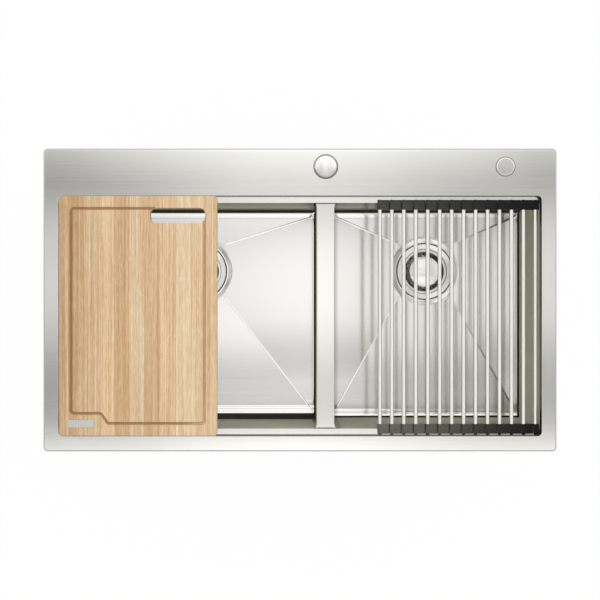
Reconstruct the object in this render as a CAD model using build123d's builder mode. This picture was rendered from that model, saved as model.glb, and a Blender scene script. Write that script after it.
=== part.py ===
from build123d import *
import os
from math import asin, degrees

# Double bowl kitchen sink: a drop-in steel workstation sink with a sliding cutting board and a
# drying rack that rolls up. Millimetres. +X is to the right, +Y to the back and +Z up.
# The origin is the middle of the deck, on the surface of the worktop that the rim rests on.

# Sheet metal
DECK_SHEET = 1.5
BOWL_SHEET = 1.2

# Deck
DECK_WIDTH = 820.0
DECK_DEPTH = 484.0
DECK_CORNER_R = 7.0
DECK_EDGE_R = 2.2
RIM_HEIGHT = 4.0

# Opening in the deck, by its distance from the deck's edges
SIDE_MARGIN = 23.7
FRONT_MARGIN = 24.3
BACK_MARGIN = 75.1
OPENING_CORNER_R = 7.0
OPENING_EDGE_R = 0.6

# Sunk ledges along the front and the back of the opening
LEDGE_DROP = 16.0
LEDGE_WIDTH = 10.5

# Bowls and the divider between them
BOWL_DEPTH = 215.0
BEND_R = 6.0
FLOOR_BORDER = 5.0
FLOOR_FALL = 3.0
DIVIDER_X = 41.3
DIVIDER_WIDTH = 28.2
DIVIDER_DROP = 3.0
DIVIDER_FLARE = 2.2
DIVIDER_FLARE_LENGTH = 7.0
DIVIDER_END_GAP = 1.8
DIVIDER_TAB = 9.0
DIVIDER_EDGE_R = 0.8

# Pressed dish in each floor, by its distance from the back wall, and the hole for the waste
DRAIN_INSET = 105.8
DISH_SEAT_R = 52.5
DISH_TOP_R = 64.5
DISH_DEPTH = 2.5
DRAIN_HOLE_R = 44.0

# Waste body
FLANGE_R = 49.5
FLANGE_EDGE_H = 0.8
FLANGE_CROWN = 2.0
FLANGE_CROWN_W = 1.3
MOUTH_R = 39.0
MOUTH_ROUND = 2.0
CUP_WALL = 1.5
CUP_DEPTH = 46.0
CUP_TAPER = 10.0
SHOULDER_DEPTH = 11.0
SHOULDER_WIDTH = 1.7
SEAL_SEAT_R = 26.0
OUTLET_R = 18.0
NECK_R = 24.5
NECK_LENGTH = 16.0
NECK_COLLAR = 3.5

# What clamps the waste to the bowl
FLANGE_GASKET_T = 1.0
FLANGE_GASKET_INSET = 1.0
GASKET_CLEARANCE = 0.5
UNDER_GASKET_R = 51.0
UNDER_GASKET_T = 2.5
LOCK_NUT_R = 50.0
LOCK_NUT_T = 9.0
LOCK_LUG_COUNT = 8
LOCK_LUG_WIDTH = 10.0
LOCK_LUG_REACH = 5.0
THREAD_CLEARANCE = 0.1

# Outlet pipe below the waste and its nut
TAIL_R = 20.0
TAIL_WALL = 1.5
TAIL_LENGTH = 62.0
TAIL_FLANGE_R = 24.0
TAIL_FLANGE_T = 2.5
TAIL_COLLAR_R = 20.8
TAIL_COLLAR_H = 3.0
TAIL_NUT_R = 29.0
TAIL_NUT_GRIP = 11.0
TAIL_NUT_LIP_T = 2.0
TAIL_NUT_LIP_CLEARANCE = 0.4
TAIL_RIB_COUNT = 12
TAIL_RIB_WIDTH = 4.0
TAIL_RIB_REACH = 1.6

# Strainer basket, its knob and its stopper
SEAT_CLEARANCE = 0.3
BASKET_CLEARANCE = 0.6
BASKET_SHEET = 1.0
BASKET_RIM_WIDTH = 3.0
BASKET_DEPTH = 27.0
BASKET_WALL_CLEARANCE = 0.9
BASKET_FOOT_R = 28.2
BASKET_SLOT_COUNT = 16
BASKET_SLOT_WIDTH = 3.0
BASKET_SLOT_MARGIN = 5.0
BASKET_HOLE_R = 2.0
BASKET_HOLE_ROW_R = (12.5, 20.5)
BASKET_HOLE_ROW_COUNTS = (8, 14)
POST_R = 4.0
KNOB_R = 26.5
KNOB_CROWN = 5.5
KNOB_SHEET = 1.2
KNOB_RISE = 2.0
STOPPER_R = 23.0
STOPPER_T = 3.5
STOPPER_STEM_R = 8.0

# Covered holes in the back deck, by their distance from the deck's edges
HOLE_COVER_INSET = 29.0
TAP_X = 41.2
TAP_COVER_R = 19.25
TAP_HOLE_R = 17.5
TAP_CROWN = 2.5
ACCESSORY_INSET = 81.8
ACCESSORY_COVER_R = 14.75
ACCESSORY_HOLE_R = 12.5
ACCESSORY_CROWN = 0.4
COVER_EDGE_H = 0.9
COVER_BEVEL_W = 2.4
COVER_BEVEL_H = 1.3
COVER_SPIGOT_CLEARANCE = 0.3
STUD_R = 5.0
STUD_LENGTH = 26.0
COVER_NUT_R = 20.0
COVER_NUT_FLANGE_T = 2.0
COVER_NUT_HEX_R = 10.5
COVER_NUT_HEX_H = 9.0

# Foam seal under the rim
RIM_GASKET_WIDTH = 6.0
RIM_GASKET_GAP = 0.5

# Clips that grip the worktop
CLIP_GAP = 1.0
CLIP_SHEET = 1.5
CLIP_FLANGE = 9.5
CLIP_FOOT = 19.0
CLIP_HEIGHT = 35.0
CLIP_WIDTH = 16.0
CLIP_FRONT_X = (-280.0, 0.0, 280.0)
CLIP_BACK_X = (-280.0, -80.0, 180.0)
CLIP_SIDE_Y = (-140.0, 100.0)
WORKTOP_T = 20.0
CLIP_SCREW_R = 2.5
CLIP_SCREW_REACH = 15.0
CLIP_SCREW_TAIL = 10.0
CLIP_SCREW_PAD_R = 4.0
CLIP_SCREW_PAD_T = 2.0
CLIP_SCREW_HEAD_R = 5.0
CLIP_SCREW_HEAD_T = 4.0

# Sound pads on the outside of the bowls
PAD_T = 2.5
PAD_CORNER_R = 8.0
PAD_MARGIN = 70.0
PAD_DROP = 70.0
PAD_HEIGHT = 110.0
FLOOR_PAD_WIDTH = 150.0
FLOOR_PAD_LENGTH = 90.0
FLOOR_PAD_INSET = 20.0

# Cutting board
BOARD_WIDTH = 252.4
BOARD_T = 20.0
BOARD_SIDE_GAP = 1.3
BOARD_END_GAP = 0.9
BOARD_CORNER_R = 4.5
BOARD_EDGE_R = 1.5
HANDLE_SLOT_WIDTH = 88.0
HANDLE_SLOT_HEIGHT = 24.0
HANDLE_SLOT_R = 9.0
HANDLE_SLOT_INSET = 19.0
GROOVE_R = 2.6
GROOVE_INSET = 20.0
GROOVE_BEND_R = 5.0
GROOVE_STEP_RISE = 16.0
GROOVE_STEP_START = 67.5
GROOVE_STEP_RUN = 11.0
PLATE_WIDTH = 42.0
PLATE_HEIGHT = 12.5
PLATE_CORNER_R = 3.0
PLATE_INSET_X = 15.0
PLATE_INSET_Y = 13.5
PLATE_T = 1.2
PLATE_RECESS = 0.8
PLATE_CLEARANCE = 0.1

# Roll-up rack
RACK_BARS = 14
RACK_PITCH = 19.2
RACK_SIDE_GAP = 3.4
RACK_END_GAP = 5.0
RACK_GAP = 0.7
RACK_BAR_OFFSET = 4.2
RACK_LAST_REACH = 5.1
RACK_BLOCK_LENGTH = 15.6
RACK_BLOCK_HEIGHT = 10.0
RACK_BLOCK_EDGE_R = 1.2
RACK_BAR_R = 3.15
RACK_BAR_WALL = 0.6
RACK_SOCKET_DEPTH = 12.0
RACK_SOCKET_CLEARANCE = 0.05

# Levels
deck_top = RIM_HEIGHT
deck_under = RIM_HEIGHT - DECK_SHEET
ledge_top = deck_top - LEDGE_DROP
ledge_under = ledge_top - BOWL_SHEET
cap_under = ledge_top - DIVIDER_DROP - BOWL_SHEET
floor_z = deck_top - BOWL_DEPTH
seat_z = floor_z - FLOOR_FALL - DISH_DEPTH
carried_z = ledge_top + SEAT_CLEARANCE

# Opening and bowls in plan
opening_width = DECK_WIDTH - 2 * SIDE_MARGIN
opening_left = -opening_width / 2
opening_right = opening_width / 2
opening_front = -DECK_DEPTH / 2 + FRONT_MARGIN
opening_back = DECK_DEPTH / 2 - BACK_MARGIN
opening_length = opening_back - opening_front
middle_y = (opening_front + opening_back) / 2
bowl_front = opening_front + LEDGE_WIDTH
bowl_back = opening_back - LEDGE_WIDTH
bowl_length = bowl_back - bowl_front
drain_y = bowl_back - DRAIN_INSET
hole_cover_y = DECK_DEPTH / 2 - HOLE_COVER_INSET
accessory_x = DECK_WIDTH / 2 - ACCESSORY_INSET
left_span = (opening_left, DIVIDER_X - DIVIDER_WIDTH / 2)
right_span = (DIVIDER_X + DIVIDER_WIDTH / 2, opening_right)
bowl_spans = (left_span, right_span)

os.makedirs("parts", exist_ok=True)


def save(piece, name):
    """Label a finished piece and write it."""
    piece.part.label = name
    export_step(piece.part, f"parts/{name}.step")


def middle(span):
    """Middle of a bowl's span in X, where its waste is."""
    return (span[0] + span[1]) / 2


def profile_plane(x, y):
    """Upright plane through a vertical axis: local X is the radius and local Y the height."""
    return Plane(origin=(x, y, 0), x_dir=(1, 0, 0), z_dir=(0, -1, 0))


def upright_axis(x, y):
    """Vertical axis through a point of the plan."""
    return Axis((x, y, 0), (0, 0, 1))


def dome_radius(half_width, crown):
    """Radius of a dome that rises by its crown over a half width."""
    return (half_width**2 + crown**2) / (2 * crown)


# Deck

with BuildPart() as deck_panel:
    with BuildSketch():
        RectangleRounded(DECK_WIDTH, DECK_DEPTH, DECK_CORNER_R)
    extrude(amount=RIM_HEIGHT)
    fillet(deck_panel.faces().sort_by(Axis.Z)[-1].edges(), DECK_EDGE_R)
    with BuildSketch():
        RectangleRounded(
            DECK_WIDTH - 2 * DECK_SHEET, DECK_DEPTH - 2 * DECK_SHEET, DECK_CORNER_R - DECK_SHEET
        )
    extrude(amount=deck_under, mode=Mode.SUBTRACT)
    with BuildSketch(Plane.XY.offset(deck_under)):
        with Locations((0, middle_y)):
            RectangleRounded(opening_width, opening_length, OPENING_CORNER_R)
        with Locations((TAP_X, hole_cover_y)):
            Circle(TAP_HOLE_R)
        with Locations((accessory_x, hole_cover_y)):
            Circle(ACCESSORY_HOLE_R)
    extrude(amount=DECK_SHEET, mode=Mode.SUBTRACT)
    top_outlines = deck_panel.faces().sort_by(Axis.Z)[-1].inner_wires()
    fillet(top_outlines.sort_by(SortBy.LENGTH)[-1].edges(), OPENING_EDGE_R)
save(deck_panel, "deck_panel")

with BuildPart() as rim_gasket:
    gasket_inset = DECK_SHEET + RIM_GASKET_GAP
    with BuildSketch():
        RectangleRounded(
            DECK_WIDTH - 2 * gasket_inset, DECK_DEPTH - 2 * gasket_inset, DECK_CORNER_R - gasket_inset
        )
        Rectangle(
            DECK_WIDTH - 2 * (gasket_inset + RIM_GASKET_WIDTH),
            DECK_DEPTH - 2 * (gasket_inset + RIM_GASKET_WIDTH),
            mode=Mode.SUBTRACT,
        )
    extrude(amount=deck_under)
save(rim_gasket, "rim_gasket")


# Step band and ledges

with BuildPart() as step_band:
    with BuildSketch(Plane.XY.offset(ledge_under)):
        with Locations((0, middle_y)):
            RectangleRounded(
                opening_width + 2 * BOWL_SHEET,
                opening_length + 2 * BOWL_SHEET,
                OPENING_CORNER_R + BOWL_SHEET,
            )
            RectangleRounded(opening_width, opening_length, OPENING_CORNER_R, mode=Mode.SUBTRACT)
    extrude(amount=deck_under - ledge_under)
save(step_band, "step_band")

for ledge_name, strip_y in (
    ("back_ledge", opening_back - LEDGE_WIDTH / 2),
    ("front_ledge", opening_front + LEDGE_WIDTH / 2),
):
    with BuildPart() as ledge:
        with BuildSketch(Plane.XY.offset(ledge_under)):
            with Locations((0, strip_y)):
                Rectangle(opening_width, LEDGE_WIDTH)
            with Locations((0, middle_y)):
                RectangleRounded(opening_width, opening_length, OPENING_CORNER_R, mode=Mode.INTERSECT)
        extrude(amount=BOWL_SHEET)
    save(ledge, ledge_name)


# Bowls

def bowl_form(span, grow):
    """The space that a bowl encloses, grown outwards by a sheet's thickness."""
    with BuildPart() as form:
        with BuildSketch(Plane.XY.offset(floor_z - grow)):
            with Locations((middle(span), middle_y)):
                Rectangle(span[1] - span[0] + 2 * grow, bowl_length + 2 * grow)
        extrude(amount=ledge_under - floor_z + grow)
        fillet(form.faces().sort_by(Axis.Z)[0].edges(), BEND_R + grow)
        with BuildSketch(Plane.XY.offset(floor_z - grow)) as creased_floor:
            with Locations((middle(span), middle_y)):
                Rectangle(
                    span[1] - span[0] - 2 * (BEND_R + FLOOR_BORDER),
                    bowl_length - 2 * (BEND_R + FLOOR_BORDER),
                )
        lowest = Vertex(middle(span), drain_y, floor_z - grow - FLOOR_FALL)
        loft([creased_floor.sketch, lowest], ruled=True)
        with Locations((middle(span), drain_y, floor_z - grow)):
            Cone(
                DISH_SEAT_R,
                DISH_TOP_R,
                FLOOR_FALL + DISH_DEPTH,
                align=(Align.CENTER, Align.CENTER, Align.MAX),
            )
    return form.part


for bowl_name, span, divider_wall_x in (
    ("left_bowl", left_span, left_span[1]),
    ("right_bowl", right_span, right_span[0]),
):
    outside = bowl_form(span, BOWL_SHEET)
    inside = bowl_form(span, 0)
    with BuildPart() as bowl:
        add(outside)
        add(inside, mode=Mode.SUBTRACT)
        with Locations((middle(span), drain_y, seat_z)):
            Cylinder(DRAIN_HOLE_R, 4 * BOWL_SHEET, mode=Mode.SUBTRACT)
        with Locations((divider_wall_x, middle_y, cap_under)):
            Box(
                4 * BOWL_SHEET,
                bowl_length,
                ledge_under - cap_under,
                align=(Align.CENTER, Align.CENTER, Align.MIN),
                mode=Mode.SUBTRACT,
            )
    save(bowl, bowl_name)

# The cap bridges the two lowered walls and flares at its ends. A tab under either end crosses the
# gap to the ledge and stands up behind the ledge's edge.
with BuildPart() as divider_cap:
    cap_side = DIVIDER_WIDTH / 2
    cap_end = bowl_length / 2 - DIVIDER_END_GAP
    with BuildSketch(Plane(origin=(DIVIDER_X, middle_y, cap_under))):
        Rectangle(2 * cap_side, 2 * cap_end)
        with BuildLine():
            flare = TangentArc(
                (cap_side, cap_end - DIVIDER_FLARE_LENGTH), (cap_side + DIVIDER_FLARE, cap_end), tangent=(0, 1)
            )
            Polyline(flare @ 1, (cap_side, cap_end), flare @ 0)
        make_face()
        mirror(about=Plane.YZ)
        mirror(about=Plane.XZ)
    extrude(amount=BOWL_SHEET)
    top_edges = divider_cap.edges().group_by(Axis.Z)[-1]
    fillet(top_edges.filter_by(Axis.X, reverse=True), DIVIDER_EDGE_R)
    with BuildSketch(Plane.YZ.offset(DIVIDER_X)):
        for end, outward in ((bowl_front, -1), (bowl_back, 1)):
            with Locations((end + outward * (BOWL_SHEET - DIVIDER_TAB / 2), cap_under - BOWL_SHEET / 2)):
                Rectangle(DIVIDER_TAB, BOWL_SHEET)
            with Locations((end + outward * BOWL_SHEET / 2, (cap_under - BOWL_SHEET + ledge_under) / 2)):
                Rectangle(BOWL_SHEET, ledge_under - cap_under + BOWL_SHEET)
    extrude(amount=cap_side - BOWL_SHEET, both=True)
save(divider_cap, "divider_cap")


# Sound pads

pad_z = deck_top - PAD_DROP - PAD_HEIGHT / 2
crease_front = bowl_front + BEND_R + FLOOR_BORDER
floor_run = drain_y - crease_front


def pad_places():
    """Plane, width and height of each pad. The planes face outwards from the bowls."""
    places = []
    for span in bowl_spans:
        wall_width = span[1] - span[0] - 2 * PAD_MARGIN
        for wall_y, facing in ((bowl_front - BOWL_SHEET, -1), (bowl_back + BOWL_SHEET, 1)):
            wall = Plane(origin=(middle(span), wall_y, pad_z), x_dir=(1, 0, 0), z_dir=(0, facing, 0))
            places.append((wall, wall_width, PAD_HEIGHT))
        slope = Plane(
            origin=(middle(span), crease_front, floor_z - BOWL_SHEET),
            x_dir=(1, 0, 0),
            z_dir=(0, -FLOOR_FALL, -floor_run),
        )
        pad_middle = slope.from_local_coords((0, -FLOOR_PAD_INSET - FLOOR_PAD_LENGTH / 2, 0))
        places.append((slope.shift_origin(pad_middle), FLOOR_PAD_WIDTH, FLOOR_PAD_LENGTH))
    for wall_x, facing in ((opening_left - BOWL_SHEET, -1), (opening_right + BOWL_SHEET, 1)):
        wall = Plane(origin=(wall_x, middle_y, pad_z), x_dir=(0, 1, 0), z_dir=(facing, 0, 0))
        places.append((wall, bowl_length - 2 * PAD_MARGIN, PAD_HEIGHT))
    return places


with BuildPart() as sound_pads:
    for pad_plane, pad_width, pad_height in pad_places():
        with BuildSketch(pad_plane):
            RectangleRounded(pad_width, pad_height, PAD_CORNER_R)
        extrude(amount=PAD_T)
save(sound_pads, "sound_pads")


# Wastes

flange_z = seat_z + FLANGE_GASKET_T
cup_r = MOUTH_R + CUP_WALL
shoulder_z = flange_z - SHOULDER_DEPTH
cup_floor_z = flange_z - CUP_DEPTH
taper_z = cup_floor_z + CUP_TAPER
neck_end_z = cup_floor_z - NECK_LENGTH
basket_z = shoulder_z + SEAT_CLEARANCE
basket_foot_z = basket_z - BASKET_DEPTH
basket_wall_r = MOUTH_R - SHOULDER_WIDTH - BASKET_WALL_CLEARANCE
knob_top = flange_z + FLANGE_CROWN + KNOB_RISE
clamp_z = seat_z - BOWL_SHEET
drain_places = [(middle(span), drain_y) for span in bowl_spans]


def make_drain_body(x, y):
    """Flanged cup with a shoulder for the basket, a floor for the stopper and a threaded neck."""
    with BuildPart() as body:
        with BuildSketch(profile_plane(x, y)):
            with BuildLine():
                Polyline(
                    (cup_r, flange_z),
                    (FLANGE_R, flange_z),
                    (FLANGE_R, flange_z + FLANGE_EDGE_H),
                    (FLANGE_R - FLANGE_CROWN_W, flange_z + FLANGE_CROWN),
                    (MOUTH_R + MOUTH_ROUND, flange_z + FLANGE_EDGE_H),
                )
                RadiusArc(
                    (MOUTH_R + MOUTH_ROUND, flange_z + FLANGE_EDGE_H),
                    (MOUTH_R, flange_z + FLANGE_EDGE_H - MOUTH_ROUND),
                    -MOUTH_ROUND,
                )
                Polyline(
                    (MOUTH_R, flange_z + FLANGE_EDGE_H - MOUTH_ROUND),
                    (MOUTH_R, shoulder_z),
                    (MOUTH_R - SHOULDER_WIDTH, shoulder_z),
                    (MOUTH_R - SHOULDER_WIDTH, taper_z),
                    (SEAL_SEAT_R, cup_floor_z),
                    (OUTLET_R, cup_floor_z),
                    (OUTLET_R, neck_end_z),
                    (NECK_R, neck_end_z),
                    (NECK_R, cup_floor_z - CUP_WALL),
                    (NECK_R + NECK_COLLAR, cup_floor_z - CUP_WALL),
                    (cup_r, taper_z - CUP_WALL / 2),
                    (cup_r, flange_z),
                )
            make_face()
        revolve(axis=upright_axis(x, y))
    return body


def make_basket(x, y):
    """Perforated strainer cup, hung by its rim."""
    rim_r = MOUTH_R - BASKET_CLEARANCE
    with BuildPart() as basket:
        with BuildSketch(profile_plane(x, y)):
            with BuildLine():
                Polyline(
                    (0, basket_foot_z),
                    (BASKET_FOOT_R, basket_foot_z),
                    (basket_wall_r, basket_z),
                    (rim_r, basket_z),
                    (rim_r, basket_z + BASKET_SHEET),
                    (rim_r - BASKET_RIM_WIDTH, basket_z + BASKET_SHEET),
                    (BASKET_FOOT_R - BASKET_SHEET, basket_foot_z + BASKET_SHEET),
                    (0, basket_foot_z + BASKET_SHEET),
                    close=True,
                )
            make_face()
        revolve(axis=upright_axis(x, y))
        slot_height = BASKET_DEPTH - 2 * BASKET_SLOT_MARGIN
        with BuildSketch(Plane(origin=(x, y, basket_foot_z + BASKET_SLOT_MARGIN))):
            with PolarLocations(basket_wall_r, BASKET_SLOT_COUNT):
                Rectangle(2 * (basket_wall_r - BASKET_FOOT_R) + 4 * BASKET_SHEET, BASKET_SLOT_WIDTH)
        extrude(amount=slot_height, mode=Mode.SUBTRACT)
        with BuildSketch(Plane(origin=(x, y, basket_foot_z))):
            for row_r, row_count in zip(BASKET_HOLE_ROW_R, BASKET_HOLE_ROW_COUNTS):
                with PolarLocations(row_r, row_count):
                    Circle(BASKET_HOLE_R)
        extrude(amount=BASKET_SHEET, mode=Mode.SUBTRACT)
    return basket


def make_knob(x, y):
    """Domed cap on a post that stands on the basket's floor."""
    radius = dome_radius(KNOB_R, KNOB_CROWN)
    inner = radius - KNOB_SHEET
    centre = (0, knob_top - radius)
    rim_angle = degrees(asin(KNOB_R / radius))
    inner_rim_angle = degrees(asin((KNOB_R - KNOB_SHEET) / inner))
    post_angle = degrees(asin(POST_R / inner))
    with BuildPart() as knob:
        with BuildSketch(profile_plane(x, y)):
            with BuildLine():
                crown = CenterArc(centre, radius, 90 - rim_angle, rim_angle)
                hollow = CenterArc(centre, inner, 90 - inner_rim_angle, inner_rim_angle - post_angle)
                Line(crown @ 0, hollow @ 0)
                Polyline(
                    hollow @ 1,
                    (POST_R, basket_foot_z + BASKET_SHEET),
                    (0, basket_foot_z + BASKET_SHEET),
                    crown @ 1,
                )
            make_face()
        revolve(axis=upright_axis(x, y))
    return knob


def make_stopper(x, y):
    """Rubber stopper under the basket, which closes the outlet."""
    stopper_z = cup_floor_z + SEAT_CLEARANCE
    with BuildPart() as stopper:
        with BuildSketch(profile_plane(x, y)):
            with BuildLine():
                Polyline(
                    (0, stopper_z),
                    (STOPPER_R, stopper_z),
                    (STOPPER_R, stopper_z + STOPPER_T / 2),
                    (STOPPER_STEM_R, stopper_z + STOPPER_T),
                    (STOPPER_STEM_R, basket_foot_z),
                    (0, basket_foot_z),
                    close=True,
                )
            make_face()
        revolve(axis=upright_axis(x, y))
    return stopper


def make_tailpiece(x, y):
    """Outlet pipe with the flange that its nut pulls against the neck, on a short collar."""
    with BuildPart() as tailpiece:
        with BuildSketch(profile_plane(x, y)):
            with BuildLine():
                Polyline(
                    (TAIL_R - TAIL_WALL, neck_end_z),
                    (TAIL_FLANGE_R, neck_end_z),
                    (TAIL_FLANGE_R, neck_end_z - TAIL_FLANGE_T),
                    (TAIL_COLLAR_R, neck_end_z - TAIL_FLANGE_T),
                    (TAIL_COLLAR_R, neck_end_z - TAIL_FLANGE_T - TAIL_COLLAR_H),
                    (TAIL_R, neck_end_z - TAIL_FLANGE_T - TAIL_COLLAR_H),
                    (TAIL_R, neck_end_z - TAIL_LENGTH),
                    (TAIL_R - TAIL_WALL, neck_end_z - TAIL_LENGTH),
                    close=True,
                )
            make_face()
        revolve(axis=upright_axis(x, y))
    return tailpiece


for side, place in zip(("left", "right"), drain_places):
    save(make_drain_body(*place), f"drain_body_{side}")
    save(make_basket(*place), f"basket_{side}")
    save(make_knob(*place), f"basket_knob_{side}")
    save(make_stopper(*place), f"basket_seal_{side}")
    save(make_tailpiece(*place), f"tailpiece_{side}")

with BuildPart() as flange_gaskets:
    with BuildSketch(Plane.XY.offset(seat_z)):
        with Locations(*drain_places):
            Circle(FLANGE_R - FLANGE_GASKET_INSET)
            Circle(DRAIN_HOLE_R + GASKET_CLEARANCE, mode=Mode.SUBTRACT)
    extrude(amount=FLANGE_GASKET_T)
save(flange_gaskets, "flange_gaskets")

with BuildPart() as under_gaskets:
    with BuildSketch(Plane.XY.offset(clamp_z - UNDER_GASKET_T)):
        with Locations(*drain_places):
            Circle(UNDER_GASKET_R)
            Circle(cup_r + GASKET_CLEARANCE, mode=Mode.SUBTRACT)
    extrude(amount=UNDER_GASKET_T)
save(under_gaskets, "under_gaskets")

with BuildPart() as lock_nuts:
    for place in drain_places:
        lock_nut_plane = Plane(origin=(*place, clamp_z - UNDER_GASKET_T - LOCK_NUT_T))
        with BuildSketch(lock_nut_plane):
            Circle(LOCK_NUT_R)
            with PolarLocations(LOCK_NUT_R, LOCK_LUG_COUNT):
                Rectangle(2 * LOCK_LUG_REACH, LOCK_LUG_WIDTH)
            Circle(cup_r + THREAD_CLEARANCE, mode=Mode.SUBTRACT)
        extrude(amount=LOCK_NUT_T)
save(lock_nuts, "lock_nuts")

with BuildPart() as tail_nuts:
    lip_z = neck_end_z - TAIL_FLANGE_T - TAIL_NUT_LIP_T
    for place in drain_places:
        with BuildSketch(Plane(origin=(*place, lip_z))):
            Circle(TAIL_NUT_R)
            with PolarLocations(TAIL_NUT_R, TAIL_RIB_COUNT):
                Rectangle(2 * TAIL_RIB_REACH, TAIL_RIB_WIDTH)
        extrude(amount=TAIL_NUT_LIP_T + TAIL_FLANGE_T + TAIL_NUT_GRIP)
        with BuildSketch(Plane(origin=(*place, lip_z))):
            Circle(TAIL_COLLAR_R + TAIL_NUT_LIP_CLEARANCE)
        extrude(amount=TAIL_NUT_LIP_T, mode=Mode.SUBTRACT)
        with BuildSketch(Plane(origin=(*place, lip_z + TAIL_NUT_LIP_T))):
            Circle(NECK_R + THREAD_CLEARANCE)
        extrude(amount=TAIL_FLANGE_T + TAIL_NUT_GRIP, mode=Mode.SUBTRACT)
save(tail_nuts, "tail_nuts")


# Covered holes

def make_hole_cover(x, cover_r, hole_r, crown):
    """Plug with a bevelled edge, a spigot in the hole and a threaded stud."""
    top_r = cover_r - COVER_BEVEL_W
    bevel_z = deck_top + COVER_EDGE_H + COVER_BEVEL_H
    radius = dome_radius(top_r, crown)
    rim_angle = degrees(asin(top_r / radius))
    with BuildPart() as cover:
        with BuildSketch(profile_plane(x, hole_cover_y)):
            with BuildLine():
                dome = CenterArc((0, bevel_z + crown - radius), radius, 90 - rim_angle, rim_angle)
                Polyline(
                    dome @ 1,
                    (0, deck_under - STUD_LENGTH),
                    (STUD_R, deck_under - STUD_LENGTH),
                    (STUD_R, deck_under),
                    (hole_r - COVER_SPIGOT_CLEARANCE, deck_under),
                    (hole_r - COVER_SPIGOT_CLEARANCE, deck_top),
                    (cover_r, deck_top),
                    (cover_r, deck_top + COVER_EDGE_H),
                    dome @ 0,
                )
            make_face()
        revolve(axis=upright_axis(x, hole_cover_y))
    return cover


save(make_hole_cover(TAP_X, TAP_COVER_R, TAP_HOLE_R, TAP_CROWN), "tap_hole_cover")
save(
    make_hole_cover(accessory_x, ACCESSORY_COVER_R, ACCESSORY_HOLE_R, ACCESSORY_CROWN),
    "accessory_hole_cover",
)

with BuildPart() as cover_nuts:
    for cover_x in (TAP_X, accessory_x):
        with BuildSketch(Plane(origin=(cover_x, hole_cover_y, deck_under))):
            Circle(COVER_NUT_R)
            Circle(STUD_R + THREAD_CLEARANCE, mode=Mode.SUBTRACT)
        extrude(amount=-COVER_NUT_FLANGE_T)
        with BuildSketch(Plane(origin=(cover_x, hole_cover_y, deck_under - COVER_NUT_FLANGE_T))):
            RegularPolygon(COVER_NUT_HEX_R, 6)
            Circle(STUD_R + THREAD_CLEARANCE, mode=Mode.SUBTRACT)
        extrude(amount=-COVER_NUT_HEX_H)
save(cover_nuts, "cover_nuts")


# Mounting clips

def clip_planes():
    """One plane for each clip: local X points out of the sink and local Y up."""
    side_inset = SIDE_MARGIN - BOWL_SHEET - CLIP_GAP
    end_inset = FRONT_MARGIN - BOWL_SHEET - CLIP_GAP
    places = [((x, -DECK_DEPTH / 2 + end_inset, 0), (0, -1, 0)) for x in CLIP_FRONT_X]
    places += [((x, DECK_DEPTH / 2 - end_inset, 0), (0, 1, 0)) for x in CLIP_BACK_X]
    places += [((-DECK_WIDTH / 2 + side_inset, y, 0), (-1, 0, 0)) for y in CLIP_SIDE_Y]
    places += [((DECK_WIDTH / 2 - side_inset, y, 0), (1, 0, 0)) for y in CLIP_SIDE_Y]
    return [
        Plane(origin=origin, x_dir=outward, z_dir=Vector(outward).cross(Vector(0, 0, 1)))
        for origin, outward in places
    ]


clip_foot_z = deck_under - CLIP_HEIGHT
with BuildPart() as mounting_clips:
    for clip_plane in clip_planes():
        with BuildSketch(clip_plane):
            with BuildLine():
                Polyline(
                    (0, deck_under),
                    (CLIP_FLANGE, deck_under),
                    (CLIP_FLANGE, deck_under - CLIP_SHEET),
                    (CLIP_SHEET, deck_under - CLIP_SHEET),
                    (CLIP_SHEET, clip_foot_z + CLIP_SHEET),
                    (CLIP_FOOT, clip_foot_z + CLIP_SHEET),
                    (CLIP_FOOT, clip_foot_z),
                    (0, clip_foot_z),
                    close=True,
                )
            make_face()
        extrude(amount=CLIP_WIDTH / 2, both=True)
        screw_place = clip_plane.from_local_coords((CLIP_SCREW_REACH, clip_foot_z, 0))
        with BuildSketch(Plane(origin=screw_place)):
            Circle(CLIP_SCREW_R + THREAD_CLEARANCE)
        extrude(amount=CLIP_SHEET, mode=Mode.SUBTRACT)
save(mounting_clips, "mounting_clips")

with BuildPart() as clip_screws:
    for clip_plane in clip_planes():
        screw_tip = clip_plane.from_local_coords((CLIP_SCREW_REACH, -WORKTOP_T, 0))
        screw_foot = clip_plane.from_local_coords((CLIP_SCREW_REACH, clip_foot_z - CLIP_SCREW_TAIL, 0))
        with BuildSketch(Plane(origin=screw_tip)):
            Circle(CLIP_SCREW_PAD_R)
        extrude(amount=-CLIP_SCREW_PAD_T)
        with BuildSketch(Plane(origin=screw_foot)):
            Circle(CLIP_SCREW_R)
        extrude(amount=-WORKTOP_T - clip_foot_z + CLIP_SCREW_TAIL)
        with BuildSketch(Plane(origin=screw_foot)):
            RegularPolygon(CLIP_SCREW_HEAD_R, 6)
        extrude(amount=CLIP_SCREW_HEAD_T)
save(clip_screws, "clip_screws")


# Cutting board

board_left = opening_left + BOARD_SIDE_GAP
board_right = board_left + BOARD_WIDTH
board_front = opening_front + BOARD_END_GAP
board_back = opening_back - BOARD_END_GAP
board_top = carried_z + BOARD_T
slot_right = board_right - HANDLE_SLOT_INSET
slot_back = board_back - HANDLE_SLOT_INSET
groove_left = board_left + GROOVE_INSET
groove_right = board_right - GROOVE_INSET
groove_front = board_front + GROOVE_INSET
groove_back = board_back - GROOVE_INSET
step_x = board_left + GROOVE_STEP_START
plate_x = board_left + PLATE_INSET_X + PLATE_WIDTH / 2
plate_y = board_front + PLATE_INSET_Y + PLATE_HEIGHT / 2

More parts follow.
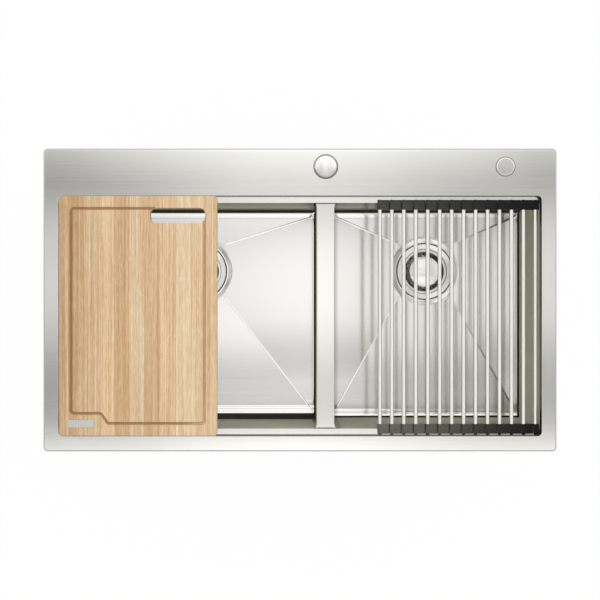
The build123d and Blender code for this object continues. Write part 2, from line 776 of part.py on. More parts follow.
with BuildPart() as cutting_board:
    with BuildSketch(Plane.XY.offset(carried_z)):
        with Locations(((board_left + board_right) / 2, (board_front + board_back) / 2)):
            RectangleRounded(BOARD_WIDTH, board_back - board_front, BOARD_CORNER_R)
    extrude(amount=BOARD_T)
    top_and_bottom = cutting_board.faces().filter_by(Axis.Z)
    fillet(top_and_bottom.edges(), BOARD_EDGE_R)
    # The juice groove starts and ends in the handle slot and steps round the plate.
    groove_start = (slot_right - HANDLE_SLOT_WIDTH + HANDLE_SLOT_R, groove_back)
    with BuildLine(Plane.XY.offset(board_top)) as groove:
        FilletPolyline(
            groove_start,
            (groove_left, groove_back),
            (groove_left, groove_front + GROOVE_STEP_RISE),
            (step_x, groove_front + GROOVE_STEP_RISE),
            (step_x + GROOVE_STEP_RUN, groove_front),
            (groove_right, groove_front),
            (groove_right, slot_back - HANDLE_SLOT_HEIGHT + HANDLE_SLOT_R),
            radius=GROOVE_BEND_R,
        )
    with BuildSketch(Plane(origin=(*groove_start, board_top), x_dir=(0, 1, 0), z_dir=(-1, 0, 0))):
        Circle(GROOVE_R)
    sweep(path=groove.wires()[0], mode=Mode.SUBTRACT)
    with BuildSketch(Plane.XY.offset(carried_z)):
        with Locations((slot_right - HANDLE_SLOT_WIDTH / 2, slot_back - HANDLE_SLOT_HEIGHT / 2)):
            RectangleRounded(HANDLE_SLOT_WIDTH, HANDLE_SLOT_HEIGHT, HANDLE_SLOT_R)
    extrude(amount=BOARD_T, mode=Mode.SUBTRACT)
    with BuildSketch(Plane.XY.offset(board_top - PLATE_RECESS)):
        with Locations((plate_x, plate_y)):
            RectangleRounded(
                PLATE_WIDTH + 2 * PLATE_CLEARANCE,
                PLATE_HEIGHT + 2 * PLATE_CLEARANCE,
                PLATE_CORNER_R + PLATE_CLEARANCE,
            )
    extrude(amount=PLATE_RECESS, mode=Mode.SUBTRACT)
save(cutting_board, "cutting_board")

with BuildPart() as blank_plate:
    with BuildSketch(Plane.XY.offset(board_top - PLATE_RECESS)):
        with Locations((plate_x, plate_y)):
            RectangleRounded(PLATE_WIDTH, PLATE_HEIGHT, PLATE_CORNER_R)
    extrude(amount=PLATE_T)
    chamfer(blank_plate.faces().sort_by(Axis.Z)[-1].edges(), (PLATE_T - PLATE_RECESS) / 2)
save(blank_plate, "blank_plate")


# Roll-up rack

rack_back = opening_back - RACK_END_GAP
rack_front = opening_front + RACK_END_GAP
rack_right = opening_right - RACK_SIDE_GAP
last_bar_x = rack_right - RACK_LAST_REACH
block_z = carried_z + RACK_BLOCK_HEIGHT / 2
block_places = (rack_back - RACK_BLOCK_LENGTH / 2, rack_front + RACK_BLOCK_LENGTH / 2)
socket_inset = RACK_BLOCK_LENGTH - RACK_SOCKET_DEPTH
bar_back = rack_back - socket_inset
bar_front = rack_front + socket_inset


def section_plane(y):
    """Upright plane across the rack: local X is X and local Y is Z."""
    return Plane(origin=(0, y, 0), x_dir=(1, 0, 0), z_dir=(0, -1, 0))


for number in range(1, RACK_BARS + 1):
    bar_x = last_bar_x - (RACK_BARS - number) * RACK_PITCH
    block_left = bar_x - RACK_BAR_OFFSET + RACK_GAP / 2
    block_right = block_left + RACK_PITCH - RACK_GAP
    if number == RACK_BARS:
        block_right = rack_right

    with BuildPart() as rack_ends:
        for block_y in block_places:
            with BuildSketch(section_plane(block_y)):
                with Locations(((block_left + block_right) / 2, block_z)):
                    Rectangle(block_right - block_left, RACK_BLOCK_HEIGHT)
            extrude(amount=RACK_BLOCK_LENGTH / 2, both=True)
        fillet(rack_ends.edges().filter_by(Axis.Y).group_by(Axis.Z)[-1], RACK_BLOCK_EDGE_R)
        with BuildSketch(section_plane((bar_back + bar_front) / 2)):
            with Locations((bar_x, block_z)):
                Circle(RACK_BAR_R + RACK_SOCKET_CLEARANCE)
        extrude(amount=(bar_back - bar_front) / 2, both=True, mode=Mode.SUBTRACT)
    save(rack_ends, f"rack_ends_{number:02d}")

    with BuildPart() as rack_bar:
        with BuildSketch(section_plane((bar_back + bar_front) / 2)):
            with Locations((bar_x, block_z)):
                Circle(RACK_BAR_R)
                Circle(RACK_BAR_R - RACK_BAR_WALL, mode=Mode.SUBTRACT)
        extrude(amount=(bar_back - bar_front) / 2, both=True)
    save(rack_bar, f"rack_bar_{number:02d}")
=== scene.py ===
from math import pi, radians
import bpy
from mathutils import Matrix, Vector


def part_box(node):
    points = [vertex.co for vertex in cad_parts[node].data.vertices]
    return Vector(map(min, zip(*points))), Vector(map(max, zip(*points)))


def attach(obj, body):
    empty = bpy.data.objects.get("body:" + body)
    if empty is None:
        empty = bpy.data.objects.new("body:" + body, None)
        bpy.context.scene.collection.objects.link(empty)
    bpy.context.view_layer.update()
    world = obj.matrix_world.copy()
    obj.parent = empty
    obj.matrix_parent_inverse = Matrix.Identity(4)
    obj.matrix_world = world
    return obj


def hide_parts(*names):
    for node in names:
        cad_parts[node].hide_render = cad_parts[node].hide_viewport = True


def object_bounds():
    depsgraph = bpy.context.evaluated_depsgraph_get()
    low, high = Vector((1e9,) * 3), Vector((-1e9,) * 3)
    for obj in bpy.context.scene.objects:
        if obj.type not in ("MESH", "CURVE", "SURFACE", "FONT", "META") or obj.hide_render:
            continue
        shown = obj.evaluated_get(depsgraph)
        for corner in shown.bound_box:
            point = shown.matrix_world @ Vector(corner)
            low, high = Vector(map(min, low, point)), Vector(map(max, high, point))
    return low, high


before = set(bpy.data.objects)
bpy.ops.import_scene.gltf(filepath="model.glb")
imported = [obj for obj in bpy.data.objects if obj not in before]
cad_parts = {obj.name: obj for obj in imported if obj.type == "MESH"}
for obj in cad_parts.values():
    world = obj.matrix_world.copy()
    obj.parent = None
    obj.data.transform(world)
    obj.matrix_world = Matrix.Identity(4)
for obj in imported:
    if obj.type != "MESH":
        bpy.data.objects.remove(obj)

from types import SimpleNamespace

import bpy
from bpy.props import FloatProperty, FloatVectorProperty, IntProperty, PointerProperty
from mathutils import Vector

bl_info = {
    "name": "Double bowl kitchen sink",
    "version": (1, 0, 0),
    "blender": (4, 5, 0),
    "location": "View3D > Sidebar > Sink",
    "description": "Finishes a steel workstation sink, its cutting board and its rolling rack",
    "category": "Object",
}


def middle_of(node):
    """Middle of a node's box."""
    low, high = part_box(node)
    return (low + high) / 2


# One millimetre in metres
MM = 0.001

# Sizes that the loaded frame gives
CAD_LOW, CAD_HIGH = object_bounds()
DECK_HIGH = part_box("deck_panel")[1]
BOARD_LOW, BOARD_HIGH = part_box("cutting_board")
SCREW_LOW, SCREW_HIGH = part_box("clip_screws")
LEFT_DRAIN = middle_of("drain_body_left")
RIGHT_DRAIN = middle_of("drain_body_right")
DRAINS = {"left": LEFT_DRAIN, "right": RIGHT_DRAIN}
TAP_COVER = middle_of("tap_hole_cover")
ACCESSORY_COVER = middle_of("accessory_hole_cover")
DIVIDER = middle_of("divider_cap")

# Sizes of the solids that the frame doesn't give
SHEET = 1.2 * MM
BEND_R = 6.0 * MM
FLOOR_BORDER = 5.0 * MM
FLOOR_FALL = 3.0 * MM
DISH_DEPTH = 2.5 * MM
DISH_R = 62.0 * MM
DISH_SEAT_R = 52.5 * MM
DISH_EDGE_R = 58.4 * MM
DECK_CORNER = 7.0 * MM
FLANGE_R = 49.5 * MM
CUP_R = 40.5 * MM
STUD_R = 5.0 * MM
SCREW_R = 2.5 * MM
RACK_BLOCK_LENGTH = 15.6 * MM
CLIP_FRONT_X = (-280 * MM, 0.0, 280 * MM)
CLIP_BACK_X = (-280 * MM, -80 * MM, 180 * MM)
CLIP_SIDE_Y = (-140 * MM, 100 * MM)
CLIP_REACH_X = 403.5 * MM
CLIP_REACH_Y = 234.9 * MM

# Sizes of what is added here
CREASE_END = 48 * MM
CREASE_FRONT = 19 * MM
BEND_MIDDLE = 0.293 * BEND_R
SEAL_SHOW = 0.2 * MM
SEAT_SEAL_LIFT = 0.4 * MM
COVER_SEAL_LIFT = 0.2 * MM
COVER_SEAL_INSETS = {"tap": 0.4 * MM, "accessory": 0.0}
CUP_THREAD = 0.45 * MM
CUP_THREAD_LENGTH = 18 * MM
CUP_THREAD_GAP = 1.5 * MM
STUD_THREAD = 0.3 * MM
STUD_FOOT = 0.8 * MM
STUD_GAP = 1.0 * MM
SCREW_THREAD = 0.22 * MM
SCREW_FOOT = 4.5 * MM
SCREW_HEAD = 2.5 * MM
WEB_LENGTH = RACK_BLOCK_LENGTH - 1.0 * MM
WEB_HEIGHT = 6.6 * MM
WEB_DROP = 1.3 * MM

# Places where bumps, colours, painted highlights and painted shade change, with both ends where they change
# slowly
# Half width of the painted shade on the divider cap
CAP_SHADE_HALF = 17.5 * MM
LEDGE_SINK = 10 * MM
LEFT_PRESS = 6.7 * MM
PRESS_FADE_X = (125 * MM, 190 * MM)
RIGHT_SHADE_X = (100 * MM, 330 * MM)
HOLLOW_Y = -30 * MM
FRONT_RISE_Y = -145 * MM
CREASE_SHADE_X = (RIGHT_DRAIN.x + 30 * MM, RIGHT_DRAIN.x + 120 * MM)
CREASE_TILT_Y = 20 * MM
STEP_BACK_Y = (118 * MM, 132 * MM)
STEP_FRONT_Y = (-180 * MM, -170 * MM)
STEP_CORNER_X = (378 * MM, 383 * MM)
GROOVE_MARGIN = 12 * MM
GROOVE_LEVELS = (-3.2 * MM, -2.8 * MM, -2.3 * MM, -1.2 * MM)
GROOVE_LIT_X = (BOARD_HIGH.x - 60 * MM, BOARD_HIGH.x - 20 * MM)
BOARD_SHADE_X = (BOARD_LOW.x, BOARD_LOW.x + 45 * MM)

# The stage, in metres and watts, with the camera's sensor in millimetres
FLOOR_HALF = 8.0
LAMP_PLACE = Vector((2.1, 0.35, 1.7))
LAMP_TARGET = Vector((-0.1, 0.0, 0.0))
LAMP_SIZE = 1.2
LAMP_POWER = 9.0
SENSOR_WIDTH = 36.0
VIEW_REACH = 50.0

# Linear colours that no setting changes
WHITE = (1.0, 1.0, 1.0, 1.0)
# Painted shade on the side of turned steel that faces the front
SHADED_STEEL = (0.3, 0.3, 0.29)
# Painted dark line on the steep edges of turned steel
EDGE_SHADE = (0.12, 0.12, 0.11)


def linear(value):
    """One channel of a screen colour, 0 to 255, as linear light."""
    value = value / 255
    return value / 12.92 if value <= 0.04045 else ((value + 0.055) / 1.055) ** 2.4


# Settings

def colour_prop(name, description, *screen):
    """A colour that a user may change, which starts as a screen colour."""
    default = [linear(value) for value in screen]
    return FloatVectorProperty(
        name=name, description=description, subtype="COLOR", size=3, min=0.0, max=1.0, default=default
    )


def length_prop(name, description, millimetres):
    """A length that a user may change, given in millimetres and kept in metres."""
    default = millimetres * MM
    return FloatProperty(name=name, description=description, unit="LENGTH", precision=5, default=default)


class SteelSettings(bpy.types.PropertyGroup):
    """Colours and grain of the sheet steel."""

    deck: colour_prop("Deck", "Brushed steel of the deck and the ledges", 228, 227, 222)
    # Painted highlight: the bright line along the back of the rim, also laid on the back ledge
    bevel: colour_prop("Bevel", "Bright line along the back of the rim", 244, 244, 241)
    # Painted dark reflection: the line round the rim's rounded edge
    edge: colour_prop("Edge", "Dull line round the rim", 192, 192, 188)
    bowl: colour_prop("Bowl floor", "Satin steel of the bowls' floors", 225, 224, 220)
    # Painted light: front walls take this tone and side walls the next, paler one, by the way they face;
    # back walls take the bright tone
    wall: colour_prop("Bowl wall", "Satin steel of the bowls' front and back walls", 226, 225, 206)
    side_wall: colour_prop("Bowl side", "Satin steel of the bowls' side walls", 240, 239, 222)
    # Painted shade: the dark tone of the bends, also painted low on the walls, on the divider cap, in the
    # step's corners and on the creases at the right
    bend: colour_prop("Bowl bend", "Steel in the bends between walls and floors", 70, 69, 64)
    # Painted shade: the step is darker than the deck
    step: colour_prop("Step", "Dull steel of the step between deck and ledges", 186, 185, 176)
    outside: colour_prop("Outside", "Dull mill finish on the outside of the bowls", 172, 172, 168)
    # Also the bright tone of painted highlights on the floors and creases, and of the back walls
    polished_and_highlight: colour_prop("Polished", "Polished flanges and domes", 246, 245, 242)
    tube: colour_prop("Tube", "Polished tubes of the rack", 240, 239, 234)
    line_width: length_prop("Line width", "Width of a brushed line", 0.9)
    line_length: length_prop("Line length", "Length of a brushed line", 220)
    crease_width: length_prop("Crease width", "Width of a pressed crease in a floor", 3.2)
    crease_height: length_prop("Crease height", "Height of a pressed crease in a floor", 0.07)


class BoardSettings(bpy.types.PropertyGroup):
    """Colours and strips of the bamboo board."""

    light: colour_prop("Light strip", "Palest bamboo strip", 238, 215, 181)
    middle: colour_prop("Middle strip", "Usual bamboo strip", 211, 181, 142)
    dark: colour_prop("Dark strip", "Darkest bamboo strip", 182, 142, 96)
    # Own colour of the groove's cut face, laid on more thickly at the left as painted shade
    groove: colour_prop("Groove", "Cut face of the juice groove", 150, 104, 60)
    strip: length_prop("Strip", "Mean width of a bamboo strip", 24)
    line: length_prop("Line", "Width of a line in a strip", 3)


class SoftSettings(bpy.types.PropertyGroup):
    """Colours of the silicone, rubber, foam and plastic pieces."""

    silicone: colour_prop("Silicone", "End blocks of the rack", 13, 14, 12)
    # Painted sheen: the lighter tone of blocks towards the front left of the rack
    lightened: colour_prop("Lightened silicone", "End blocks where the light has faded them", 98, 99, 89)
    rubber: colour_prop("Rubber", "Stoppers and gaskets", 38, 38, 38)
    pad: colour_prop("Sound pad", "Pads on the outside of the bowls", 88, 90, 92)
    foam: colour_prop("Foam", "Seal under the rim", 72, 74, 77)
    nut: colour_prop("Nut", "Moulded nuts", 46, 48, 50)
    pipe: colour_prop("Pipe", "Outlet pipes and their nuts", 232, 232, 228)
    zinc: colour_prop("Zinc", "Plated clips and screws", 190, 190, 184)


class RackSettings(bpy.types.PropertyGroup):
    """Shape of the rack's end blocks."""

    rounding: length_prop("Rounding", "Round of a block's edges", 1.3)
    boss_radius: length_prop("Boss radius", "Radius of the round end over a tube", 2.7)
    web: length_prop("Web", "How far the web between two blocks stands out", 0.5)
    boss_length: length_prop("Boss length", "How far the front round end stands out of its block", 2.4)
    back_boss: length_prop("Back boss", "How far the back round end stands out of its block", 0.6)
    shift: length_prop("Shift", "How far the blocks sit towards the back of the rack", -1.6)


class ThreadSettings(bpy.types.PropertyGroup):
    """Threads and seals."""

    screw_pitch: length_prop("Screw pitch", "Pitch of the clip screws", 0.8)
    stud_pitch: length_prop("Stud pitch", "Pitch of the cover studs", 1.25)
    cup_pitch: length_prop("Waste pitch", "Pitch of the thread on the wastes", 2.0)
    seal: length_prop("Seal", "Thickness of the seal that shows round a cover or a flange", 0.75)
    resolution: IntProperty(
        name="Resolution", description="Points in one turn of a thread", min=8, max=64, default=20
    )


class StageSettings(bpy.types.PropertyGroup):
    """Camera, floor and light."""

    camera_height: length_prop("Camera height", "Height of the camera over the deck", 2000)
    lens: FloatProperty(
        name="Lens", description="Focal length on a 36 mm sensor", unit="CAMERA", default=75.147
    )
    floor: FloatVectorProperty(
        name="Floor", description="Pale floor", subtype="COLOR", size=3, min=0.0, max=1.0, default=[0.9] * 3
    )


class SinkSettings(bpy.types.PropertyGroup):
    """All settings of the sink."""

    steel: PointerProperty(type=SteelSettings)
    board: PointerProperty(type=BoardSettings)
    soft: PointerProperty(type=SoftSettings)
    rack: PointerProperty(type=RackSettings)
    thread: PointerProperty(type=ThreadSettings)
    stage: PointerProperty(type=StageSettings)


# Node helpers

def reckoned(operation, swapped=False):
    """A method that gives a Math node's result for a wire and another number."""
    return lambda self, other=0.0: self.math(operation, other, swapped)


class Wire:
    """A socket of a node tree that is reckoned with like a number, a vector or a colour."""

    __add__ = reckoned("ADD")
    __sub__ = reckoned("SUBTRACT")
    __rsub__ = reckoned("SUBTRACT", True)
    __mul__ = reckoned("MULTIPLY")
    __truediv__ = reckoned("DIVIDE")
    __rtruediv__ = reckoned("DIVIDE", True)
    __abs__ = reckoned("ABSOLUTE")
    __gt__ = reckoned("GREATER_THAN")
    __lt__ = reckoned("LESS_THAN")
    at_least = reckoned("MAXIMUM")
    at_most = reckoned("MINIMUM")

    def __init__(self, socket):
        self.socket = socket
        self.tree = socket.id_data

    def math(self, operation, other=0.0, swapped=False):
        """A Math node's result for this number and another, which comes first where they are swapped."""
        values = (other, self) if swapped else (self, other)
        return add(self.tree, "ShaderNodeMath", dict(enumerate(values)), operation=operation)

    def spread(self, low, high, to_low=0.0, to_high=1.0, way="SMOOTHSTEP", clamp=True):
        """This number mapped from one range to another, smoothly unless another way is given."""
        inputs = {"Value": self, "From Min": low, "From Max": high, "To Min": to_low, "To Max": to_high}
        return add(self.tree, "ShaderNodeMapRange", inputs, interpolation_type=way, clamp=clamp)

    def fade(self, low, high, amount=1.0):
        """An amount up to low, which fades to nothing at high."""
        return self.spread(low, high, amount, 0.0)

    def band(self, start, full, end, gone, amount=1.0):
        """An amount between full and end, which fades to nothing at start and at gone."""
        return self.spread(start, full) * self.fade(end, gone, amount)

    def share(self, low, high):
        """How far along the way from low to high this number is, also past the ends."""
        return self.spread(low, high, way="LINEAR", clamp=False)

    def vary(self, low, high):
        """A noise's usual range mapped to another."""
        return self.spread(0.3, 0.7, low, high)

    def mix(self, first, second, kind="FLOAT"):
        """Two numbers, vectors or colours mixed by this factor."""
        start, output = {"FLOAT": (2, 0), "VECTOR": (4, 1), "RGBA": (6, 2)}[kind]
        inputs = {0: self, start: first, start + 1: second}
        return add(self.tree, "ShaderNodeMix", inputs, output, data_type=kind)

    def blend(self, first, second):
        """Two colours mixed by this factor."""
        return self.mix(opaque(first), opaque(second), "RGBA")

    def tint(self, rgb):
        """A colour multiplied by this tone or colour."""
        inputs = {0: 1.0, 6: opaque(rgb), 7: self}
        return add(self.tree, "ShaderNodeMix", inputs, 2, data_type="RGBA", blend_type="MULTIPLY")

    def vector(self, operation, other=(0.0, 0.0, 0.0)):
        """A Vector Math node's result for this vector and another."""
        output = "Value" if operation in ("LENGTH", "DOT_PRODUCT") else "Vector"
        return add(self.tree, "ShaderNodeVectorMath", {0: self, 1: other}, output, operation=operation)

    def stretch(self, scale):
        """This vector multiplied axis by axis."""
        return self.vector("MULTIPLY", scale)

    def noise(self, detail, roughness=0.55, scale=1.0):
        """A noise texture's value at this place."""
        inputs = {"Vector": self, "Scale": scale, "Detail": detail, "Roughness": roughness}
        return add(self.tree, "ShaderNodeTexNoise", inputs, "Fac")


def feed(node, inputs):
    """Give a node's inputs values or links."""
    for key, value in inputs.items():
        if isinstance(value, Wire):
            value.tree.links.new(value.socket, node.inputs[key])
        else:
            node.inputs[key].default_value = value


def add_node(tree, kind, inputs=None, **settings):
    """Add a node, set it up and feed its inputs."""
    node = tree.nodes.new(kind)
    for name, value in settings.items():
        setattr(node, name, value)
    feed(node, inputs or {})
    return node


def add(tree, kind, inputs=None, output=0, **settings):
    """Add a node and take one of its outputs."""
    return Wire(add_node(tree, kind, inputs, **settings).outputs[output])


def wires(node):
    """All outputs of a node by name."""
    return {socket.name: Wire(socket) for socket in node.outputs}


def split(vector, kind="XYZ"):
    """The three parts of a vector or of a colour."""
    node = add_node(vector.tree, f"ShaderNodeSeparate{kind}", {0: vector})
    return [Wire(socket) for socket in node.outputs]


def combine(tree, x, y, z):
    """A vector from its three parts."""
    return add(tree, "ShaderNodeCombineXYZ", {0: x, 1: y, 2: z})


def opaque(rgb):
    """A colour with its alpha, unless it comes from a node."""
    return rgb if isinstance(rgb, Wire) else (*rgb, 1.0)


def new_tree(name, kind, inputs, outputs):
    """A node group with named sockets, its inputs as wires, and its output node."""
    tree = bpy.data.node_groups.new(name, kind)
    for in_out, sockets in (("INPUT", inputs), ("OUTPUT", outputs)):
        for socket, value in sockets.items():
            tree.interface.new_socket(socket, in_out=in_out, socket_type=f"NodeSocket{value}")
    return tree, wires(tree.nodes.new("NodeGroupInput")), tree.nodes.new("NodeGroupOutput")


def built(maker):
    """The node group that a function makes, made on first use."""
    name = maker.__name__.removeprefix("make_")
    return bpy.data.node_groups.get(name) or maker(name)


def use_group(tree, maker, inputs):
    """A shared node group placed in a material, and its outputs."""
    return wires(add_node(tree, "ShaderNodeGroup", inputs, node_tree=built(maker)))


def surface(tree):
    """Object coordinates and object-space normal."""
    outputs = wires(add_node(tree, "ShaderNodeTexCoord"))
    return outputs["Object"], outputs["Normal"]


def new_material(name):
    """An empty material and its tree."""
    material = bpy.data.materials.new(name)
    material.use_nodes = True
    material.node_tree.nodes.clear()
    return material, material.node_tree


def finish_material(material, base, rough, height, depth=1.0, strength=1.0, metallic=1.0, more=None):
    """Give a material its Principled shader with a bump."""
    tree = material.node_tree
    inputs = {"Height": height, "Distance": depth, "Strength": strength}
    bump = add(tree, "ShaderNodeBump", inputs, "Normal")
    inputs = {"Base Color": base, "Roughness": rough, "Metallic": metallic, "Normal": bump, **(more or {})}
    shader = add(tree, "ShaderNodeBsdfPrincipled", inputs, "BSDF")
    add_node(tree, "ShaderNodeOutputMaterial", {"Surface": shader})
    return material


def paint(material, *nodes):
    """Give CAD nodes a material."""
    for name in nodes:
        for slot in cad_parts[name].material_slots:
            slot.material = material


# Shared surface effects

def make_brushed_lines(name):
    """Brushed lines along X, or along Y on faces that look along X, and slow clouds."""
    inputs = {"Vector": "Vector", "Normal": "Vector", "Line Width": "Float", "Line Length": "Float"}
    tree, given, out = new_tree(name, "ShaderNodeTree", inputs, {"Lines": "Float", "Clouds": "Float"})
    fine = 1.0 / given["Line Width"]
    long = 1.0 / given["Line Length"]
    sideways = abs(split(given["Normal"])[0]) > 0.6
    scale = sideways.mix(combine(tree, long, fine, fine), combine(tree, fine, long, fine), "VECTOR")
    lines = given["Vector"].stretch(scale).noise(4.0, 0.65)
    feed(out, {"Lines": lines, "Clouds": given["Vector"].noise(2.0, scale=7.0)})
    return tree


def make_turned_rings(name):
    """Fine lathe rings round an upright axis, slow clouds and the distance from the axis."""
    inputs = {"Vector": "Vector", "Axis": "Vector", "Ring Width": "Float"}
    outputs = {"Rings": "Float", "Clouds": "Float", "Radius": "Float"}
    tree, given, out = new_tree(name, "ShaderNodeTree", inputs, outputs)
    offset = given["Vector"].vector("SUBTRACT", given["Axis"])
    radius = offset.stretch((1.0, 1.0, 0.0)).vector("LENGTH")
    steps = (radius + split(offset)[2] * 0.37) / given["Ring Width"]
    inputs = {"W": steps, "Scale": 1.0, "Detail": 3.0, "Roughness": 0.6}
    rings = add(tree, "ShaderNodeTexNoise", inputs, "Fac", noise_dimensions="1D")
    feed(out, {"Rings": rings, "Clouds": given["Vector"].noise(2.0, scale=30.0), "Radius": radius})
    return tree


def make_edge_shade(name):
    """Where a painted dark line goes along rounded edges, which turn away from level, broken by slow noise.
    """
    inputs = {"Vector": "Vector", "Normal": "Vector", "Start": "Float", "Full": "Float"}
    tree, given, out = new_tree(name, "ShaderNodeTree", inputs, {"Line": "Float"})
    turned = abs(split(given["Normal"])[2]).fade(given["Full"], given["Start"])
    patches = given["Vector"].noise(3.0, scale=60.0).spread(0.3, 0.6, 0.75, 1.0)
    feed(out, {"Line": turned * patches})
    return tree


def make_moulded_skin(name):
    """Fine speckle and slow clouds of a moulded or sprayed surface."""
    inputs = {"Vector": "Vector", "Grain": "Float"}
    tree, given, out = new_tree(name, "ShaderNodeTree", inputs, {"Speckle": "Float", "Clouds": "Float"})
    speckle = given["Vector"].noise(3.0, 0.6, 1.0 / given["Grain"])
    feed(out, {"Speckle": speckle, "Clouds": given["Vector"].noise(2.0, scale=22.0)})
    return tree


# Geometry trees

def geometry_tree(name, floats=(), vectors=(), integers=()):
    """A geometry tree with named inputs and a material, its inputs as wires, and its output node."""
    inputs = {"Geometry": "Geometry"}
    for kind, names in (("Vector", vectors), ("Float", floats), ("Int", integers)):
        inputs.update(dict.fromkeys(names, kind))
    inputs["Material"] = "Material"
    return new_tree(name, "GeometryNodeTree", inputs, {"Geometry": "Geometry"})


def end_tree(tree, geometry, given, out):
    """Make a tree's result real geometry with its material."""
    real = add(tree, "GeometryNodeRealizeInstances", {"Geometry": geometry})
    inputs = {"Geometry": real, "Material": given["Material"]}
    feed(out, {"Geometry": add(tree, "GeometryNodeSetMaterial", inputs)})
    return tree


def sweep(tree, path, section, scale=1.0):
    """A section swept along a path, with closed ends."""
    inputs = {"Curve": path, "Profile Curve": section, "Scale": scale, "Fill Caps": True}
    return add(tree, "GeometryNodeCurveToMesh", inputs)


def round_section(tree, radius, points):
    """A round section."""
    return add(tree, "GeometryNodeCurvePrimitiveCircle", {"Resolution": points, "Radius": radius}, "Curve")


def on_points(tree, given, instance):
    """An instance on each point that the tree is given."""
    return add(tree, "GeometryNodeInstanceOnPoints", {"Points": given["Geometry"], "Instance": instance})


def moved(tree, geometry, place, **more):
    """Geometry moved to a place."""
    return add(tree, "GeometryNodeTransform", {"Geometry": geometry, "Translation": place, **more})


def make_screw_thread(name):
    """A thread that winds up from each point."""
    floats = ("Radius", "Depth", "Height", "Turns")
    tree, given, out = geometry_tree(name, floats, integers=("Resolution",))
    inputs = {"Resolution": given["Resolution"], "Rotations": given["Turns"], "Height": given["Height"]}
    inputs.update(dict.fromkeys(("Start Radius", "End Radius"), given["Radius"]))
    path = add(tree, "GeometryNodeCurveSpiral", inputs)
    ridge = sweep(tree, path, round_section(tree, given["Depth"], 6))
    return end_tree(tree, on_points(tree, given, ridge), given, out)


def make_seal_ring(name):
    """A level ring round each point."""
    tree, given, out = geometry_tree(name, ("Radius", "Thickness"))
    path = round_section(tree, given["Radius"], 96)
    ring = sweep(tree, path, round_section(tree, given["Thickness"], 10))
    return end_tree(tree, on_points(tree, given, ring), given, out)


def make_floor_crease(name):
    """A low bead along each path that thins towards its end."""
    tree, given, out = geometry_tree(name, ("Width", "Height", "End"))
    path = add(tree, "GeometryNodeMeshToCurve", {"Mesh": given["Geometry"]})
    path = add(tree, "GeometryNodeSubdivideCurve", {"Curve": path, "Cuts": 6})
    path = add(tree, "GeometryNodeSetCurveNormal", {"Curve": path}, mode="Z_UP")
    size = combine(tree, given["Width"], given["Height"] * 2.0, 1.0)
    sunk = combine(tree, 0.0, given["Height"] * -1.0, 0.0)
    section = moved(tree, round_section(tree, 1.0, 28), sunk, Scale=size)
    along = add(tree, "GeometryNodeSplineParameter", output="Factor")
    taper = along.spread(0.0, 1.0, 1.0, given["End"], "LINEAR")
    return end_tree(tree, sweep(tree, path, section, taper), given, out)


def make_rack_blocks(name):
    """The two end blocks of a rack link, each with a round boss at its outer end."""
    floats = ("Reach", "Tube Offset", "Boss Radius", "Boss Length", "Back Boss")
    tree, given, out = geometry_tree(name, floats, ("Middle", "Size"))
    half = split(given["Size"])[1] * 0.5
    cube = add(tree, "GeometryNodeMeshCube", {"Size": given["Size"]}, "Mesh")
    join = add_node(tree, "GeometryNodeJoinGeometry")
    for side, length in ((1.0, given["Back Boss"]), (-1.0, given["Boss Length"])):
        depth = half + length
        inputs = {"Vertices": 20, "Radius": given["Boss Radius"], "Depth": depth}
        boss = add(tree, "GeometryNodeMeshCylinder", inputs, "Mesh")
        block_y = given["Reach"] * side
        boss_at = combine(tree, given["Tube Offset"], block_y + depth * (side * 0.5), 0.0)
        union = add_node(tree, "GeometryNodeMeshBoolean", operation="UNION", solver="EXACT")
        feed(union, {"Mesh 2": moved(tree, cube, combine(tree, 0.0, block_y, 0.0))})
        feed(union, {"Mesh 2": moved(tree, boss, boss_at, Rotation=(pi / 2, 0.0, 0.0))})
        feed(join, {0: Wire(union.outputs["Mesh"])})
    placed = moved(tree, Wire(join.outputs[0]), given["Middle"])
    return end_tree(tree, placed, given, out)


def make_gap_webs(name):
    """A thin upright bar at each point."""
    tree, given, out = geometry_tree(name, vectors=("Size",))
    bar = add(tree, "GeometryNodeMeshCube", {"Size": given["Size"]}, "Mesh")
    return end_tree(tree, on_points(tree, given, bar), given, out)


def grow(name, maker, values, points=(), edges=(), rounding=0.0):
    """A piece that a geometry tree makes from points and edges, as a plain mesh."""
    tree = built(maker)
    mesh = bpy.data.meshes.new(name)
    mesh.from_pydata(points, edges, [])
    piece = bpy.data.objects.new(name, mesh)
    bpy.context.scene.collection.objects.link(piece)
    shape = piece.modifiers.new("shape", "NODES")
    shape.node_group = tree
    for socket in tree.interface.items_tree:
        if socket.in_out == "INPUT" and socket.name in values:
            shape[socket.identifier] = values[socket.name]
    if rounding:
        bevel = piece.modifiers.new("rounding", "BEVEL")
        bevel.width = rounding
        bevel.segments = 3
        bevel.limit_method = "ANGLE"
        bevel.angle_limit = radians(50)
    graph = bpy.context.evaluated_depsgraph_get()
    made = bpy.data.meshes.new_from_object(piece.evaluated_get(graph))
    if not made.polygons:
        raise RuntimeError(f"{name} has no faces")
    piece.modifiers.clear()
    piece.data = made
    made.shade_smooth()
    made.set_sharp_from_angle(angle=radians(40))
    return piece


def hide_mirrored(*pieces):
    """Keep pieces out of mirror images, so that the smooth floors show the light above them."""
    for piece in pieces:
        piece.visible_glossy = False


def keep(piece, body, slot, *nodes):
    """Let a piece ride on a body and stand for CAD nodes, which it hides. The slot is not used."""
    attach(piece, body)
    if nodes:
        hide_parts(*nodes)


# Steel

def brushed(tree, settings):
    """Places, normals, brushed lines and clouds on a steel piece."""
    place, facing = surface(tree)
    inputs = {"Vector": place, "Normal": facing}
    inputs.update({"Line Width": settings.line_width, "Line Length": settings.line_length})
    grain = use_group(tree, make_brushed_lines, inputs)
    return place, facing, grain["Lines"], grain["Clouds"]


